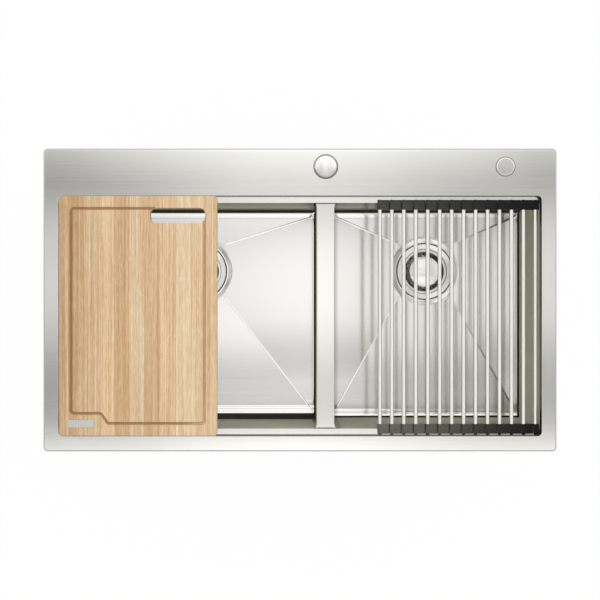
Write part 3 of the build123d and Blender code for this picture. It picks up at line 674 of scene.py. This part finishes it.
def make_deck_steel(settings):
    """Brushed deck steel with a painted highlight along the back of the rim and on the back ledge, a painted
    dark line round the rim and painted shade low on the divider cap.
    """
    material, tree = new_material("deck_brushed_steel")
    place, facing, lines, clouds = brushed(tree, settings)
    x, y, z = split(place)
    base = lines.vary(0.988, 1.01) * clouds.spread(0.35, 0.65, 0.985, 1.01)
    base = base.tint(settings.deck)
    inner = (DECK_HIGH.x - DECK_CORNER, DECK_HIGH.y - DECK_CORNER, 1.0)
    outer = place.vector("ABSOLUTE").vector("SUBTRACT", inner).vector("MAXIMUM").vector("LENGTH")
    # Painted highlight: a bright band along the back of the rim
    bright = outer.spread(2.0 * MM, 3.0 * MM, 0.0, 0.8) * y.spread(0.9 * DECK_HIGH.y, DECK_HIGH.y)
    base = bright.blend(base, settings.bevel)
    # Painted dark reflection: a dark line round the rim's rounded edge and its outermost part
    edge = use_group(tree, make_edge_shade, {"Vector": place, "Normal": facing, "Start": 0.6, "Full": 0.3})
    rim = edge["Line"].at_least(outer.spread(4.3 * MM, 5.0 * MM))
    base = rim.blend(base, settings.edge)
    cap_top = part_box("divider_cap")[1].z
    # Painted shade on the divider cap below its top
    cap_end_shade = abs(x - DIVIDER.x) < CAP_SHADE_HALF
    cap_end_shade *= z.fade(cap_top - 2.9 * MM, cap_top - 2.7 * MM, 0.8)
    base = cap_end_shade.blend(base, settings.bend)
    # Painted highlight: the back ledge in the bright line's colour
    ledge = (z < DECK_HIGH.z - LEDGE_SINK) * (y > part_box("back_ledge")[0].y)
    ledge *= z.spread(cap_top, cap_top + 0.2 * MM, 0.0, 0.8)
    base = ledge.blend(base, settings.bevel)
    rough = lines.vary(0.092, 0.112)
    return finish_material(material, base, rough, lines, 0.02 * MM, 0.03)


def floor_level(bowl):
    """Height of a bowl's floor at its edge."""
    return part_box(bowl)[0].z + SHEET + DISH_DEPTH + FLOOR_FALL


def floor_runs():
    """How far the floors fall: from the back, from the front and from the sides of each bowl."""
    border = SHEET + BEND_R + FLOOR_BORDER
    low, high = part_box("left_bowl")
    right_low, right_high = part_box("right_bowl")
    sides = ((high.x - low.x) / 2 - border, (right_high.x - right_low.x) / 2 - border)
    return high.y - border - LEFT_DRAIN.y, LEFT_DRAIN.y - low.y - border, sides


def bowl_places(place):
    """Which bowl a place is in, its rise over the floor, and how far it is from walls, lines and waste."""
    x, y, z = split(place)
    low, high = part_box("left_bowl")
    right_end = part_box("right_bowl")[1].x - SHEET
    right = x > DIVIDER.x
    front = y - (low.y + SHEET)
    drain = place.vector("SUBTRACT", right.mix(LEFT_DRAIN, RIGHT_DRAIN, "VECTOR"))
    return SimpleNamespace(
        x=x,
        y=y,
        right=right,
        rise=z - floor_level("left_bowl"),
        side=right.mix(x - (low.x + SHEET), right_end - x),
        front=front,
        back=high.y - SHEET - y,
        pressed=front - right.mix(LEFT_PRESS, 0.0),
        fading=x.spread(*PRESS_FADE_X, 1.0, 0.1),
        drain=drain,
        reach=drain.stretch((1.0, 1.0, 0.0)).vector("LENGTH"),
    )


def fold_floor(at):
    """Whether a floor's front or back part is at a place, and a height that folds it along its creases."""
    back, front, sides = floor_runs()
    fold_front = front + BEND_R + FLOOR_BORDER - CREASE_FRONT
    half = at.right.mix(*sides)
    x, y, _ = split(at.drain)
    across = abs(x)
    side = (across / half).at_most(1.0)
    ahead = (y / back).at_least(y / -front).at_most(1.0)
    past_end = y.share(CREASE_END, back).at_least(y.share(-CREASE_END, -fold_front))
    lengthways = past_end > across.share(CREASE_END, half)
    fall = lengthways.mix(side, ahead) - side.at_least(ahead)
    return lengthways, fall * (at.reach > DISH_R) * FLOOR_FALL


def floor_height(at, fold):
    """Heights that tilt the light on the floors: rolled edges, pressed lines, creases, dish and hollows."""
    height = at.side.fade(1 * MM, 27 * MM, 1.2 * MM) + at.side.fade(1 * MM, 11 * MM, 0.4 * MM)
    height += at.back.fade(0.5 * MM, 14 * MM, 0.3 * MM)
    height += at.pressed.fade(9.7 * MM, 15 * MM, 0.3 * MM) * at.fading
    for start, end, rise in ((15, 26, -0.06), (7.6, 9.7, 0.08), (0.3, 7.6, 0.38)):
        height += at.pressed.fade(start * MM, end * MM, rise * MM)
    height += fold + at.reach.spread(DISH_SEAT_R, DISH_EDGE_R, 0.9 * DISH_DEPTH, 0.0, "LINEAR")
    for start, curve in ((HOLLOW_Y, -0.075), (FRONT_RISE_Y, 0.228)):
        forward = (at.y - start).at_most(0.0)
        height += forward * forward * curve
    return height


def floor_colour(at, tilt_y, lengthways, settings):
    """Pale floors with painted shade at the sides, on the back facets and towards the right end, and painted
    highlight bands in front and behind.
    """
    # Painted shade: floors darker near the side walls, on the back facets and towards the right end
    back_facet_shade = tilt_y.fade(-0.026, -0.02, 0.13) * (tilt_y > -0.06) * lengthways
    dull_and_shade = at.side.spread(14 * MM, 40 * MM, 0.8, 1.0) - back_facet_shade
    dull_and_shade *= at.x.spread(*RIGHT_SHADE_X, 1.0, 0.93)
    # Painted highlight: bright bands along the pressed lines in front and along the back wall
    lines = at.pressed.band(0.0, 1 * MM, 7.2 * MM, 8 * MM)
    lines += at.pressed.band(9.3 * MM, 10.1 * MM, 13.6 * MM, 15.4 * MM) * at.fading
    lines += at.back.band(1.5 * MM, 2.5 * MM, 5 * MM, 13 * MM, 0.45)
    return lines.blend(dull_and_shade.tint(settings.bowl), settings.polished_and_highlight)


def low_bands(at, wall, outside):
    """Painted shade: dark bands low on the front, back and divider walls."""
    front = at.front.fade(6 * MM, 7 * MM, 0.98) * at.rise.fade(36 * MM, 44 * MM) * (1.0 - at.right)
    back = at.back - at.right.mix(2 * MM, 1 * MM)
    back = back.fade(0.0, 1 * MM, 0.97) * at.rise.fade(16 * MM, 22 * MM)
    divider = wall * abs(at.x - DIVIDER.x).fade(19 * MM, 21 * MM) * at.rise.fade(30 * MM, 150 * MM, 0.9)
    return divider.at_least(front.at_least(back) * (1.0 - outside))


def make_bowl_steel(settings):
    """Satin bowl steel: pale floors and a mill finish outside, with painted light: walls toned by the way
    they face, a painted dark reflection in the bends and painted shade low on the walls.
    """
    material, tree = new_material("bowl_satin_steel")
    place, facing, lines, clouds = brushed(tree, settings)
    tilt_x, tilt_y, tilt_z = split(facing)
    at = bowl_places(place)
    lengthways, fold = fold_floor(at)
    up = abs(tilt_z)
    wall = up.fade(0.05, 0.3)
    bend = up.band(0.03, 0.15, 0.72, 0.86)
    sideways = abs(tilt_x)
    behind = tilt_y.fade(-0.9, -0.5)
    middle = at.right.mix(middle_of("left_bowl"), middle_of("right_bowl"), "VECTOR")
    outside = place.vector("SUBTRACT", middle).vector("DOT_PRODUCT", facing) > 0.0
    dark = low_bands(at, wall, outside)
    # Painted shade along the foot of the right bowl's wall by the divider
    foot = at.x - (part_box("right_bowl")[0].x + SHEET)
    foot = foot.band(3 * MM, 5 * MM, 7 * MM, 14 * MM, 0.4) * at.right
    # Painted light: walls toned by the way they face, the back walls bright, the side walls pale and the
    # front walls darker
    upright = behind.blend(sideways.blend(settings.wall, settings.side_wall), settings.polished_and_highlight)
    sheet = wall.blend(floor_colour(at, tilt_y, lengthways, settings), upright)
    # Painted dark reflection in the bends between walls and floors
    sheet = bend.blend(sheet, settings.bend)
    # Painted shade of the low bands and the foot, in the bends' dark tone
    sheet = dark.at_least(foot).blend(sheet, settings.bend)
    sheet = outside.blend(sheet, settings.outside)
    base = lines.vary(0.985, 1.015).tint(sheet)
    rough = outside.mix(lines.vary(0.085, 0.115), clouds.vary(0.34, 0.5))
    mirror = sideways.mix(at.rise.spread(10 * MM, 140 * MM, 0.15, 0.45), 0.25)
    metal = dark.mix(wall.mix(1.0, behind.mix(mirror, 1.0)), 0.0)
    height = floor_height(at, fold) + lines * (0.6e-3 * MM)
    more = {"Specular Tint": (0.045, 0.045, 0.0, 1.0), "Specular IOR Level": 0.0}
    return finish_material(material, base, rough, height, metallic=metal, more=more)


def make_crease_steel(settings):
    """Satin steel of the pressed creases, tilted to catch the light in front, in a painted bright tone that
    turns to painted shade at the right.
    """
    material, tree = new_material("crease_satin_steel")
    place, _, lines, _ = brushed(tree, settings)
    x, y, _ = split(place)
    # Painted shade towards the right, from the bright tone to the bends' dark tone
    shade = x.spread(*CREASE_SHADE_X, 0.0, 0.75)
    base = lines.vary(0.985, 1.015).tint(shade.blend(settings.polished_and_highlight, settings.bend))
    height = (y - CREASE_TILT_Y).at_most(0.0) * -0.035
    return finish_material(material, base, lines.vary(0.1, 0.14), height)


def make_step_steel(settings):
    """Steel of the step band, darker than the deck as painted shade, and darker still in the corners at the
    right.
    """
    material, tree = new_material("step_shaded_steel")
    place, _, lines, clouds = brushed(tree, settings)
    x, y, _ = split(place)
    # Painted shade in the step's corners at the right
    corners = y.spread(*STEP_BACK_Y, 0.0, 0.9).at_least(y.fade(*STEP_FRONT_Y, 0.9))
    corners *= x.spread(*STEP_CORNER_X)
    base = corners.blend(lines.vary(0.94, 1.06).tint(settings.step), settings.bend)
    rough = clouds.vary(0.24, 0.34)
    more = {"Specular Tint": (0.2, 0.2, 0.19, 1.0)}
    return finish_material(material, base, rough, lines, 0.02 * MM, 0.05, more=more)


def make_turned_steel(
    name, rgb, axis, roughness, ring_width=0.7 * MM, metallic=0.8, outline=0.35,
    steep=(0.85, 0.6), flatten=0.0, front_shade=0.0,
):
    """Steel with lathe rings round an upright axis, a painted dark line on its steep edge and, by a given
    amount, painted shade on the side that faces the front.
    """
    material, tree = new_material(name)
    place, facing = surface(tree)
    turned = use_group(tree, make_turned_rings, {"Vector": place, "Axis": axis, "Ring Width": ring_width})
    inputs = {"Vector": place, "Normal": facing, "Start": steep[0], "Full": steep[1]}
    edge = use_group(tree, make_edge_shade, inputs)["Line"]
    rings, radius = turned["Rings"], turned["Radius"]
    # Painted shade on the side that faces the front
    base = split(facing)[1].fade(-0.2, 0.04, front_shade).blend(rings.vary(0.96, 1.03).tint(rgb), SHADED_STEEL)
    # Painted dark line on the steep edge
    base = (edge * outline).blend(base, EDGE_SHADE)
    rough = rings.vary(roughness - 0.03, roughness + 0.04) + turned["Clouds"].spread(0.4, 0.7, 0.0, 0.03)
    height = rings * (1.0e-3 * MM) + radius * radius * flatten
    return finish_material(material, base, rough, height, metallic=metallic)


def make_tube_steel(settings):
    """Polished tubes of the rack, with faint draw lines along them."""
    material, tree = new_material("rack_tube_steel")
    lines = surface(tree)[0].stretch((1500.0, 5.0, 1500.0)).noise(3.0, 0.6)
    base = lines.vary(0.97, 1.02).tint(settings.tube)
    return finish_material(material, base, lines.vary(0.26, 0.33), lines, 0.02 * MM, 0.04)


def make_plate_steel(settings):
    """Brushed bare plate of the board."""
    material, tree = new_material("bare_plate_steel")
    place, facing = surface(tree)
    inputs = {"Vector": place, "Normal": facing, "Line Width": 0.25 * MM, "Line Length": 14 * MM}
    lines = use_group(tree, make_brushed_lines, inputs)["Lines"]
    base = lines.vary(0.68, 0.84).tint(settings.deck)
    return finish_material(material, base, lines.vary(0.2, 0.32), lines, 0.03 * MM, 0.1)


# Board

def ramp(factor, stops):
    """A colour ramp with stops."""
    node = add_node(factor.tree, "ShaderNodeValToRGB", {"Fac": factor})
    elements = node.color_ramp.elements
    while len(elements) < len(stops):
        elements.new(0.5)
    for element, (position, rgb) in zip(elements, stops):
        element.position = position
        element.color = opaque(rgb)
    return Wire(node.outputs["Color"])


def groove_bottom(x, y, z):
    """Where the bottom of the board's groove is."""
    board = middle_of("cutting_board")
    bottom = (z - BOARD_HIGH.z).band(*GROOVE_LEVELS)
    bottom *= abs(x - board.x) < BOARD_HIGH.x - board.x - GROOVE_MARGIN
    return bottom * (abs(y - board.y) < BOARD_HIGH.y - board.y - GROOVE_MARGIN)


def make_bamboo(settings):
    """Bamboo strips along Y with lines, fibres, flecks, glue joints and end grain, painted lighter towards
    the right and darker at the left end as painted light, and a darker groove whose painted shade is deeper
    at the left.
    """
    material, tree = new_material("bamboo_strips")
    place, facing = surface(tree)
    x, y, z = split(place)
    _, facing_y, facing_z = split(facing)
    sway = place.stretch((6.0, 4.0, 6.0)).noise(2.0)
    across = x + (sway - 0.5) * (2.0 * MM)
    inputs = {"W": across, "Scale": 1 / settings.strip, "Randomness": 0.35}
    strips = add(tree, "ShaderNodeTexVoronoi", inputs, "Color", voronoi_dimensions="1D")
    joints = add(
        tree, "ShaderNodeTexVoronoi", inputs, "Distance", voronoi_dimensions="1D", feature="DISTANCE_TO_EDGE"
    )
    red, green, blue = split(strips, "Color")
    strip_place = combine(tree, across, y + blue, z)
    line = settings.line
    fibre = strip_place.stretch((2.6 / line, 60.0, 400.0)).noise(3.0)
    layers = (
        (strip_place.stretch((1.3 / line, 2.4, 30.0)).noise(2.0), 0.66),
        (strip_place.stretch((3.2 / line, 6.0, 90.0)).noise(2.0), 0.55),
        (fibre, 0.62),
        (strip_place.stretch((40.0, 5.0, 40.0)).noise(2.0), 0.3),
        (red, 0.2),
    )
    # Painted light: the board lighter towards the right, with painted shade at its left end
    tone = x.spread(BOARD_LOW.x, BOARD_HIGH.x, 0.46, 0.56)
    tone += x.spread(*BOARD_SHADE_X, -0.2, 0.0)
    for layer, amount in layers:
        tone += (layer - 0.5) * amount
    flecks = strip_place.stretch((1.9 / line, 95.0, 60.0)).noise(2.0)
    tone += flecks.spread(0.64, 0.74, 0.0, 0.22)
    base = ramp(tone, [(0.2, settings.dark), (0.5, settings.middle), (0.8, settings.light)])
    base = green.spread(0.45, 0.75).blend(base, base.tint((1.0, 0.95, 0.9)))
    base = joints.fade(0.0, 0.035, 0.5).blend(base, settings.dark)
    groove = groove_bottom(x, y, z) * (abs(facing_z) > 0.02)
    # Painted shade in the groove: more of the groove's dark tone at the left than at the right
    depth = x.spread(*GROOVE_LIT_X, 0.8, 0.35)
    base = groove.blend(base, depth.blend(base, settings.groove))
    pores = place.stretch((900.0, 20.0, 900.0)).noise(2.0)
    pale = pores.spread(0.45, 0.6).blend(settings.middle, settings.dark)
    base = ((abs(facing_y) > 0.7) * 0.6).blend(base, pale)
    return finish_material(material, base, fibre.vary(0.42, 0.58), fibre, 0.08 * MM, 0.25, 0.0)


# Soft pieces

def make_moulded(name, rgb, roughness, grain, metallic=0.0, lightened=None, specular=0.35):
    """A moulded material with a fine skin; on the rack it takes a painted sheen towards the front left and
    painted shade at the gaps between blocks.
    """
    material, tree = new_material(name)
    place, _ = surface(tree)
    skin = use_group(tree, make_moulded_skin, {"Vector": place, "Grain": grain})
    tone = skin["Clouds"].vary(0.9, 1.08)
    if lightened is not None:
        x, y, _ = split(place)
        pitch = middle_of("rack_bar_14").x - middle_of("rack_bar_13").x
        meeting = (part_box("rack_ends_13")[1].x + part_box("rack_ends_14")[0].x) / 2
        # Painted shade at the gaps between the end blocks
        gap = (x - meeting).math("PINGPONG", pitch / 2)
        tone *= gap.spread(0.8 * MM, 1.6 * MM, 0.25, 1.0)
        # Painted sheen: lighter towards the front left of the rack
        low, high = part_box("rack_ends_01")[0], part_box("rack_ends_14")[1]
        fade = x.fade(low.x, high.x) * y.spread(low.y, high.y, 1.0, 0.42)
        rgb = fade.blend(rgb, lightened)
    rough = skin["Speckle"].vary(roughness - 0.06, roughness + 0.06)
    more = {"Specular IOR Level": specular}
    return finish_material(material, tone.tint(rgb), rough, skin["Speckle"], 0.1 * MM, 0.25, metallic, more)


# Operators

def crease_paths(bowl, drain):
    """Points and edges of the four creases of a bowl, from its corners to its dish."""
    low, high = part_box(bowl)
    level = floor_level(bowl)
    border = BEND_R + FLOOR_BORDER
    front_insets = ((border, CREASE_FRONT, 0.0),)
    back_insets = ((BEND_MIDDLE,) * 3, (BEND_R, BEND_R, 0.0), (border, border, 0.0))
    points, edges = [], []
    for corner_x, inward_x in ((low.x + SHEET, 1), (high.x - SHEET, -1)):
        for corner_y, inward_y, insets in (
            (low.y + SHEET, 1, front_insets),
            (high.y - SHEET, -1, back_insets),
        ):
            start = len(points)
            for inset_x, inset_y, rise in insets:
                place = (corner_x + inward_x * inset_x, corner_y + inward_y * inset_y, level + rise)
                points.append(Vector(place))
            run_x = abs(corner_x - drain.x) - border
            run_y = abs(corner_y - drain.y) - border
            rise = FLOOR_FALL * max(CREASE_END / run_x, CREASE_END / run_y)
            end_x, end_y = drain.x - inward_x * CREASE_END, drain.y - inward_y * CREASE_END
            points.append(Vector((end_x, end_y, level - FLOOR_FALL + rise)))
            edges += [(step, step + 1) for step in range(start, len(points) - 1)]
    return points, edges


class SINK_OT_steel(bpy.types.Operator):
    """Finish the deck, the ledges, the bowls, their creases and the divider"""

    bl_idname = "sink.steel"
    bl_label = "Sheet steel"

    def execute(self, context):
        settings = context.scene.sink.steel
        paint(make_deck_steel(settings), "deck_panel", "back_ledge", "front_ledge", "divider_cap")
        paint(make_bowl_steel(settings), "left_bowl", "right_bowl")
        paint(make_step_steel(settings), "step_band")
        values = {
            "Width": settings.crease_width / 2,
            "Height": settings.crease_height,
            "End": 0.8,
            "Material": make_crease_steel(settings),
        }
        for side, drain in DRAINS.items():
            paths = crease_paths(f"{side}_bowl", drain)
            keep(grow(f"{side}_bowl_creases", make_floor_crease, values, *paths), "sink", "bowl_steel")
        return {"FINISHED"}


def add_thread(name, points, radius, height, pitch, depth, material, slot):
    """A thread of one size at several places."""
    values = {
        "Radius": radius,
        "Depth": depth,
        "Height": height,
        "Turns": height / pitch,
        "Resolution": bpy.context.scene.sink.thread.resolution,
        "Material": material,
    }
    keep(grow(name, make_screw_thread, values, points), "sink", slot)


class SINK_OT_wastes(bpy.types.Operator):
    """Finish the wastes, the baskets and the hole covers"""

    bl_idname = "sink.wastes"
    bl_label = "Wastes"

    def execute(self, context):
        sink = context.scene.sink
        bright = sink.steel.polished_and_highlight
        chrome = [1.08 * channel for channel in bright]
        dull_and_shade = [0.92 * channel for channel in sink.steel.deck]
        rubber = make_moulded("seal_rubber", sink.soft.rubber, 0.55, 0.5 * MM)
        paint(rubber, "flange_gaskets", "under_gaskets")
        seat = floor_level("left_bowl") - FLOOR_FALL - DISH_DEPTH
        rings = {}
        threads = {}
        thread_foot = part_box("lock_nuts")[0].z - CUP_THREAD_LENGTH - CUP_THREAD_GAP
        for side, axis in DRAINS.items():
            turned = make_turned_steel(f"turned_steel_{side}", bright, axis, 0.16)
            dome = make_turned_steel(
                f"polished_dome_{side}", chrome, axis, 0.17, 1.6 * MM, 1.0, 0.2, flatten=4.0, front_shade=0.15
            )
            paint(turned, f"drain_body_{side}", f"basket_{side}")
            paint(dome, f"basket_knob_{side}")
            paint(rubber, f"basket_seal_{side}")
            rings[f"flange_seal_{side}"] = (axis.x, axis.y, seat + SEAT_SEAL_LIFT), FLANGE_R
            threads[f"waste_thread_{side}"] = (axis.x, axis.y, thread_foot), turned
        flat = make_turned_steel("turned_cover", dull_and_shade, ACCESSORY_COVER, 0.1, 0.4 * MM, 1.0, 0.6, flatten=2.5)
        paint(flat, "accessory_hole_cover")
        domed = make_turned_steel(
            "polished_cover", bright, TAP_COVER, 0.26, 1.6 * MM, 0.9, 0.8, (0.93, 0.87), front_shade=0.55
        )
        paint(domed, "tap_hole_cover")
        for hole, inset in COVER_SEAL_INSETS.items():
            low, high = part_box(f"{hole}_hole_cover")
            place = (low + high) / 2
            radius = (high.x - low.x) / 2 - inset
            rings[f"{hole}_cover_seal"] = (place.x, place.y, DECK_HIGH.z + COVER_SEAL_LIFT), radius
        for name, (place, radius) in rings.items():
            values = {"Radius": radius + SEAL_SHOW, "Thickness": sink.thread.seal, "Material": rubber}
            keep(grow(name, make_seal_ring, values, [place]), "sink", "seal_rubber")
        pitch = sink.thread.cup_pitch
        for name, (place, steel) in threads.items():
            add_thread(name, [place], CUP_R, CUP_THREAD_LENGTH, pitch, CUP_THREAD, steel, "drain_steel")
        stud_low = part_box("tap_hole_cover")[0].z
        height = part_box("cover_nuts")[0].z - stud_low - STUD_GAP
        places = [(cover.x, cover.y, stud_low + STUD_FOOT) for cover in (TAP_COVER, ACCESSORY_COVER)]
        pitch = sink.thread.stud_pitch
        add_thread("cover_stud_threads", places, STUD_R, height, pitch, STUD_THREAD, flat, "drain_steel")
        return {"FINISHED"}


class SINK_OT_board(bpy.types.Operator):
    """Finish the cutting board and its plate"""

    bl_idname = "sink.board"
    bl_label = "Cutting board"

    def execute(self, context):
        sink = context.scene.sink
        paint(make_bamboo(sink.board), "cutting_board")
        paint(make_plate_steel(sink.steel), "blank_plate")
        hide_mirrored(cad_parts["cutting_board"])
        return {"FINISHED"}


class SINK_OT_rack(bpy.types.Operator):
    """Finish the rolling rack's tubes and make its silicone end blocks"""

    bl_idname = "sink.rack"
    bl_label = "Rolling rack"

    def execute(self, context):
        sink = context.scene.sink
        silicone = make_moulded(
            "rack_silicone", sink.soft.silicone, 0.42, 0.6 * MM, lightened=sink.soft.lightened, specular=0.12
        )
        tube = make_tube_steel(sink.steel)
        web_size = Vector((2 * sink.rack.web, WEB_LENGTH, WEB_HEIGHT))
        for link in sorted(name[-2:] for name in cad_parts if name.startswith("rack_bar")):
            paint(tube, f"rack_bar_{link}")
            low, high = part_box(f"rack_ends_{link}")
            middle = (low + high) / 2 + Vector((0.0, sink.rack.shift, 0.0))
            reach = (high.y - low.y - RACK_BLOCK_LENGTH) / 2
            values = {
                "Middle": middle,
                "Size": Vector((high.x - low.x, RACK_BLOCK_LENGTH, high.z - low.z)),
                "Reach": reach,
                "Tube Offset": middle_of(f"rack_bar_{link}").x - middle.x,
                "Boss Radius": sink.rack.boss_radius,
                "Boss Length": sink.rack.boss_length,
                "Back Boss": sink.rack.back_boss,
                "Material": silicone,
            }
            blocks = grow(f"rack_blocks_{link}", make_rack_blocks, values, rounding=sink.rack.rounding)
            keep(blocks, f"rack_link_{link}", "silicone", f"rack_ends_{link}")
            places = [(high.x, middle.y + side * reach, middle.z - WEB_DROP) for side in (-1, 1)]
            values = {"Size": web_size, "Material": silicone}
            webs = grow(f"rack_webs_{link}", make_gap_webs, values, places)
            keep(webs, f"rack_link_{link}", "silicone")
            hide_mirrored(blocks, webs)
        return {"FINISHED"}


class SINK_OT_fixings(bpy.types.Operator):
    """Finish the clips, nuts, pads and pipes, and thread the screws"""

    bl_idname = "sink.fixings"
    bl_label = "Fixings"

    def execute(self, context):
        sink = context.scene.sink
        soft = sink.soft
        paint(make_moulded("sound_pad_rubber", soft.pad, 0.7, 1.2 * MM), "sound_pads")
        paint(make_moulded("rim_foam", soft.foam, 0.85, 0.9 * MM), "rim_gasket")
        paint(make_moulded("nut_plastic", soft.nut, 0.45, 0.5 * MM), "lock_nuts", "cover_nuts")
        pipe = make_moulded("pipe_plastic", soft.pipe, 0.35, 0.7 * MM)
        paint(pipe, "tailpiece_left", "tailpiece_right", "tail_nuts")
        zinc = make_moulded("zinc_steel", soft.zinc, 0.38, 0.8 * MM, 1.0)
        paint(zinc, "mounting_clips", "clip_screws")
        foot = SCREW_LOW.z + SCREW_FOOT
        places = [(x, -CLIP_REACH_Y, foot) for x in CLIP_FRONT_X]
        places += [(x, CLIP_REACH_Y, foot) for x in CLIP_BACK_X]
        places += [(side * CLIP_REACH_X, y, foot) for side in (-1, 1) for y in CLIP_SIDE_Y]
        height = SCREW_HIGH.z - SCREW_HEAD - foot
        pitch = sink.thread.screw_pitch
        add_thread("clip_screw_threads", places, SCREW_R, height, pitch, SCREW_THREAD, zinc, "clip_steel")
        return {"FINISHED"}


def make_world(scene):
    """Soft studio light: bright above, dim at the horizon, white where the camera looks past the floor."""
    world = bpy.data.worlds.new("studio")
    scene.world = world
    world.use_nodes = True
    tree = world.node_tree
    tree.nodes.clear()
    x, y, z = split(add(tree, "ShaderNodeTexCoord", output="Generated"))
    up = z.at_least(0.02)
    side = x / up
    depth = y / up
    across = abs(side)

    # What the level steel mirrors: a bright middle that falls off to the sides, with bands across
    near = across.spread(0.02, 0.2, 0.86, 0.37) + side.spread(0.05, 0.19, 0.0, 0.1)
    near += depth.spread(-0.07, -0.02, -0.08, 0.0)
    near += depth.spread(0.0, 0.09, 0.0, -0.075)
    reach = depth - across.spread(0.12, 0.18, 0.0, 0.02)
    near += depth.spread(-0.07, 0.0) * reach.fade(0.036, 0.078, 0.47)
    near += depth.fade(-0.13, -0.102, 1.08) * depth.spread(-0.19, -0.15, 0.7, 1.0)
    near += depth.spread(0.098, 0.118, 0.0, 0.58)
    near += across.spread(0.15, 0.2) * depth.spread(0.085, 0.1, 0.0, -0.14)
    near += across.spread(0.1, 0.19) * depth.fade(-0.07, -0.03, 0.09)

    far = across.at_least(abs(depth)).spread(0.3, 0.48)
    overhead = far.mix(near, depth.spread(-0.7, 0.7, 0.8, 1.2))
    light = overhead * z.spread(0.08, 0.32, 0.25, 1.0)
    sky = add(tree, "ShaderNodeBackground", {"Strength": light, "Color": WHITE})
    white = add(tree, "ShaderNodeBackground", {"Strength": 1.0, "Color": WHITE})
    seen = add(tree, "ShaderNodeLightPath", output="Is Camera Ray")
    mixed = add(tree, "ShaderNodeMixShader", {0: seen, 1: sky, 2: white})
    add_node(tree, "ShaderNodeOutputWorld", {"Surface": mixed})


def make_floor_material(rgb):
    """Pale floor: white to the camera and in mirror images, with the object's shadow, clear from below."""
    material, tree = new_material("pale_floor")
    plain = add(tree, "ShaderNodeBsdfDiffuse", {"Color": opaque(rgb)})
    glow = add(tree, "ShaderNodeEmission", {"Color": WHITE, "Strength": 1.0})
    rays = wires(add_node(tree, "ShaderNodeLightPath"))
    seen = rays["Is Camera Ray"].at_least(rays["Is Glossy Ray"]).at_least(rays["Is Transmission Ray"])
    shown = add(tree, "ShaderNodeMixShader", {0: seen * 0.97, 1: plain, 2: glow})
    clear = add(tree, "ShaderNodeBsdfTransparent")
    below = add(tree, "ShaderNodeNewGeometry", output="Backfacing")
    both = add(tree, "ShaderNodeMixShader", {0: below, 1: shown, 2: clear})
    add_node(tree, "ShaderNodeOutputMaterial", {"Surface": both})
    return material


def add_lamp(scene):
    """A soft square area lamp at the right."""
    lamp = bpy.data.lights.new("side_lamp", "AREA")
    lamp.energy = LAMP_POWER
    lamp.size = LAMP_SIZE
    holder = bpy.data.objects.new("side_lamp", lamp)
    holder.location = LAMP_PLACE
    holder.rotation_euler = (LAMP_TARGET - LAMP_PLACE).to_track_quat("-Z", "Y").to_euler()
    hide_mirrored(holder)
    scene.collection.objects.link(holder)


class SINK_OT_stage(bpy.types.Operator):
    """Set up the floor, the light and the camera"""

    bl_idname = "sink.stage"
    bl_label = "Stage"

    def execute(self, context):
        scene = context.scene
        settings = scene.sink.stage
        scene.view_settings.view_transform = "Standard"
        make_world(scene)
        floor_mesh = bpy.data.meshes.new("floor")
        signs = ((-1, -1), (1, -1), (1, 1), (-1, 1))
        corners = [(x * FLOOR_HALF, y * FLOOR_HALF, CAD_LOW.z) for x, y in signs]
        floor_mesh.from_pydata(corners, [], [(0, 1, 2, 3)])
        floor_mesh.materials.append(make_floor_material(settings.floor))
        floor = bpy.data.objects.new("floor", floor_mesh)
        scene.collection.objects.link(floor)
        add_lamp(scene)
        camera = bpy.data.cameras.new("camera")
        camera.lens = settings.lens
        camera.sensor_width = SENSOR_WIDTH
        camera.clip_end = VIEW_REACH
        holder = bpy.data.objects.new("camera", camera)
        holder.location = (0, 0, DECK_HIGH.z + settings.camera_height)
        scene.collection.objects.link(holder)
        scene.camera = holder
        return {"FINISHED"}


STEPS = (SINK_OT_stage, SINK_OT_steel, SINK_OT_wastes, SINK_OT_board, SINK_OT_rack, SINK_OT_fixings)


class SINK_PT_sidebar(bpy.types.Panel):
    """Lists the steps that finish the sink"""

    bl_idname = "SINK_PT_sidebar"
    bl_label = "Double bowl sink"
    bl_space_type = "VIEW_3D"
    bl_region_type = "UI"
    bl_category = "Sink"

    def draw(self, context):
        for step in STEPS:
            self.layout.operator(step.bl_idname)
        for group in SinkSettings.__annotations__:
            settings = getattr(context.scene.sink, group)
            for name in settings.__annotations__:
                self.layout.prop(settings, name)


CLASSES = (
    SteelSettings,
    BoardSettings,
    SoftSettings,
    RackSettings,
    ThreadSettings,
    StageSettings,
    SinkSettings,
    *STEPS,
    SINK_PT_sidebar,
)


def register():
    """Register the classes and the scene's settings."""
    for cls in CLASSES:
        bpy.utils.register_class(cls)
    bpy.types.Scene.sink = PointerProperty(type=SinkSettings)


def unregister():
    """Take the classes and the scene's settings away again."""
    del bpy.types.Scene.sink
    for cls in reversed(CLASSES):
        bpy.utils.unregister_class(cls)


def main():
    """Finish the whole sink."""
    register()
    bpy.ops.sink.stage()
    bpy.ops.sink.steel()
    bpy.ops.sink.wastes()
    bpy.ops.sink.board()
    bpy.ops.sink.rack()
    bpy.ops.sink.fixings()


if __name__ == "__main__":
    main()
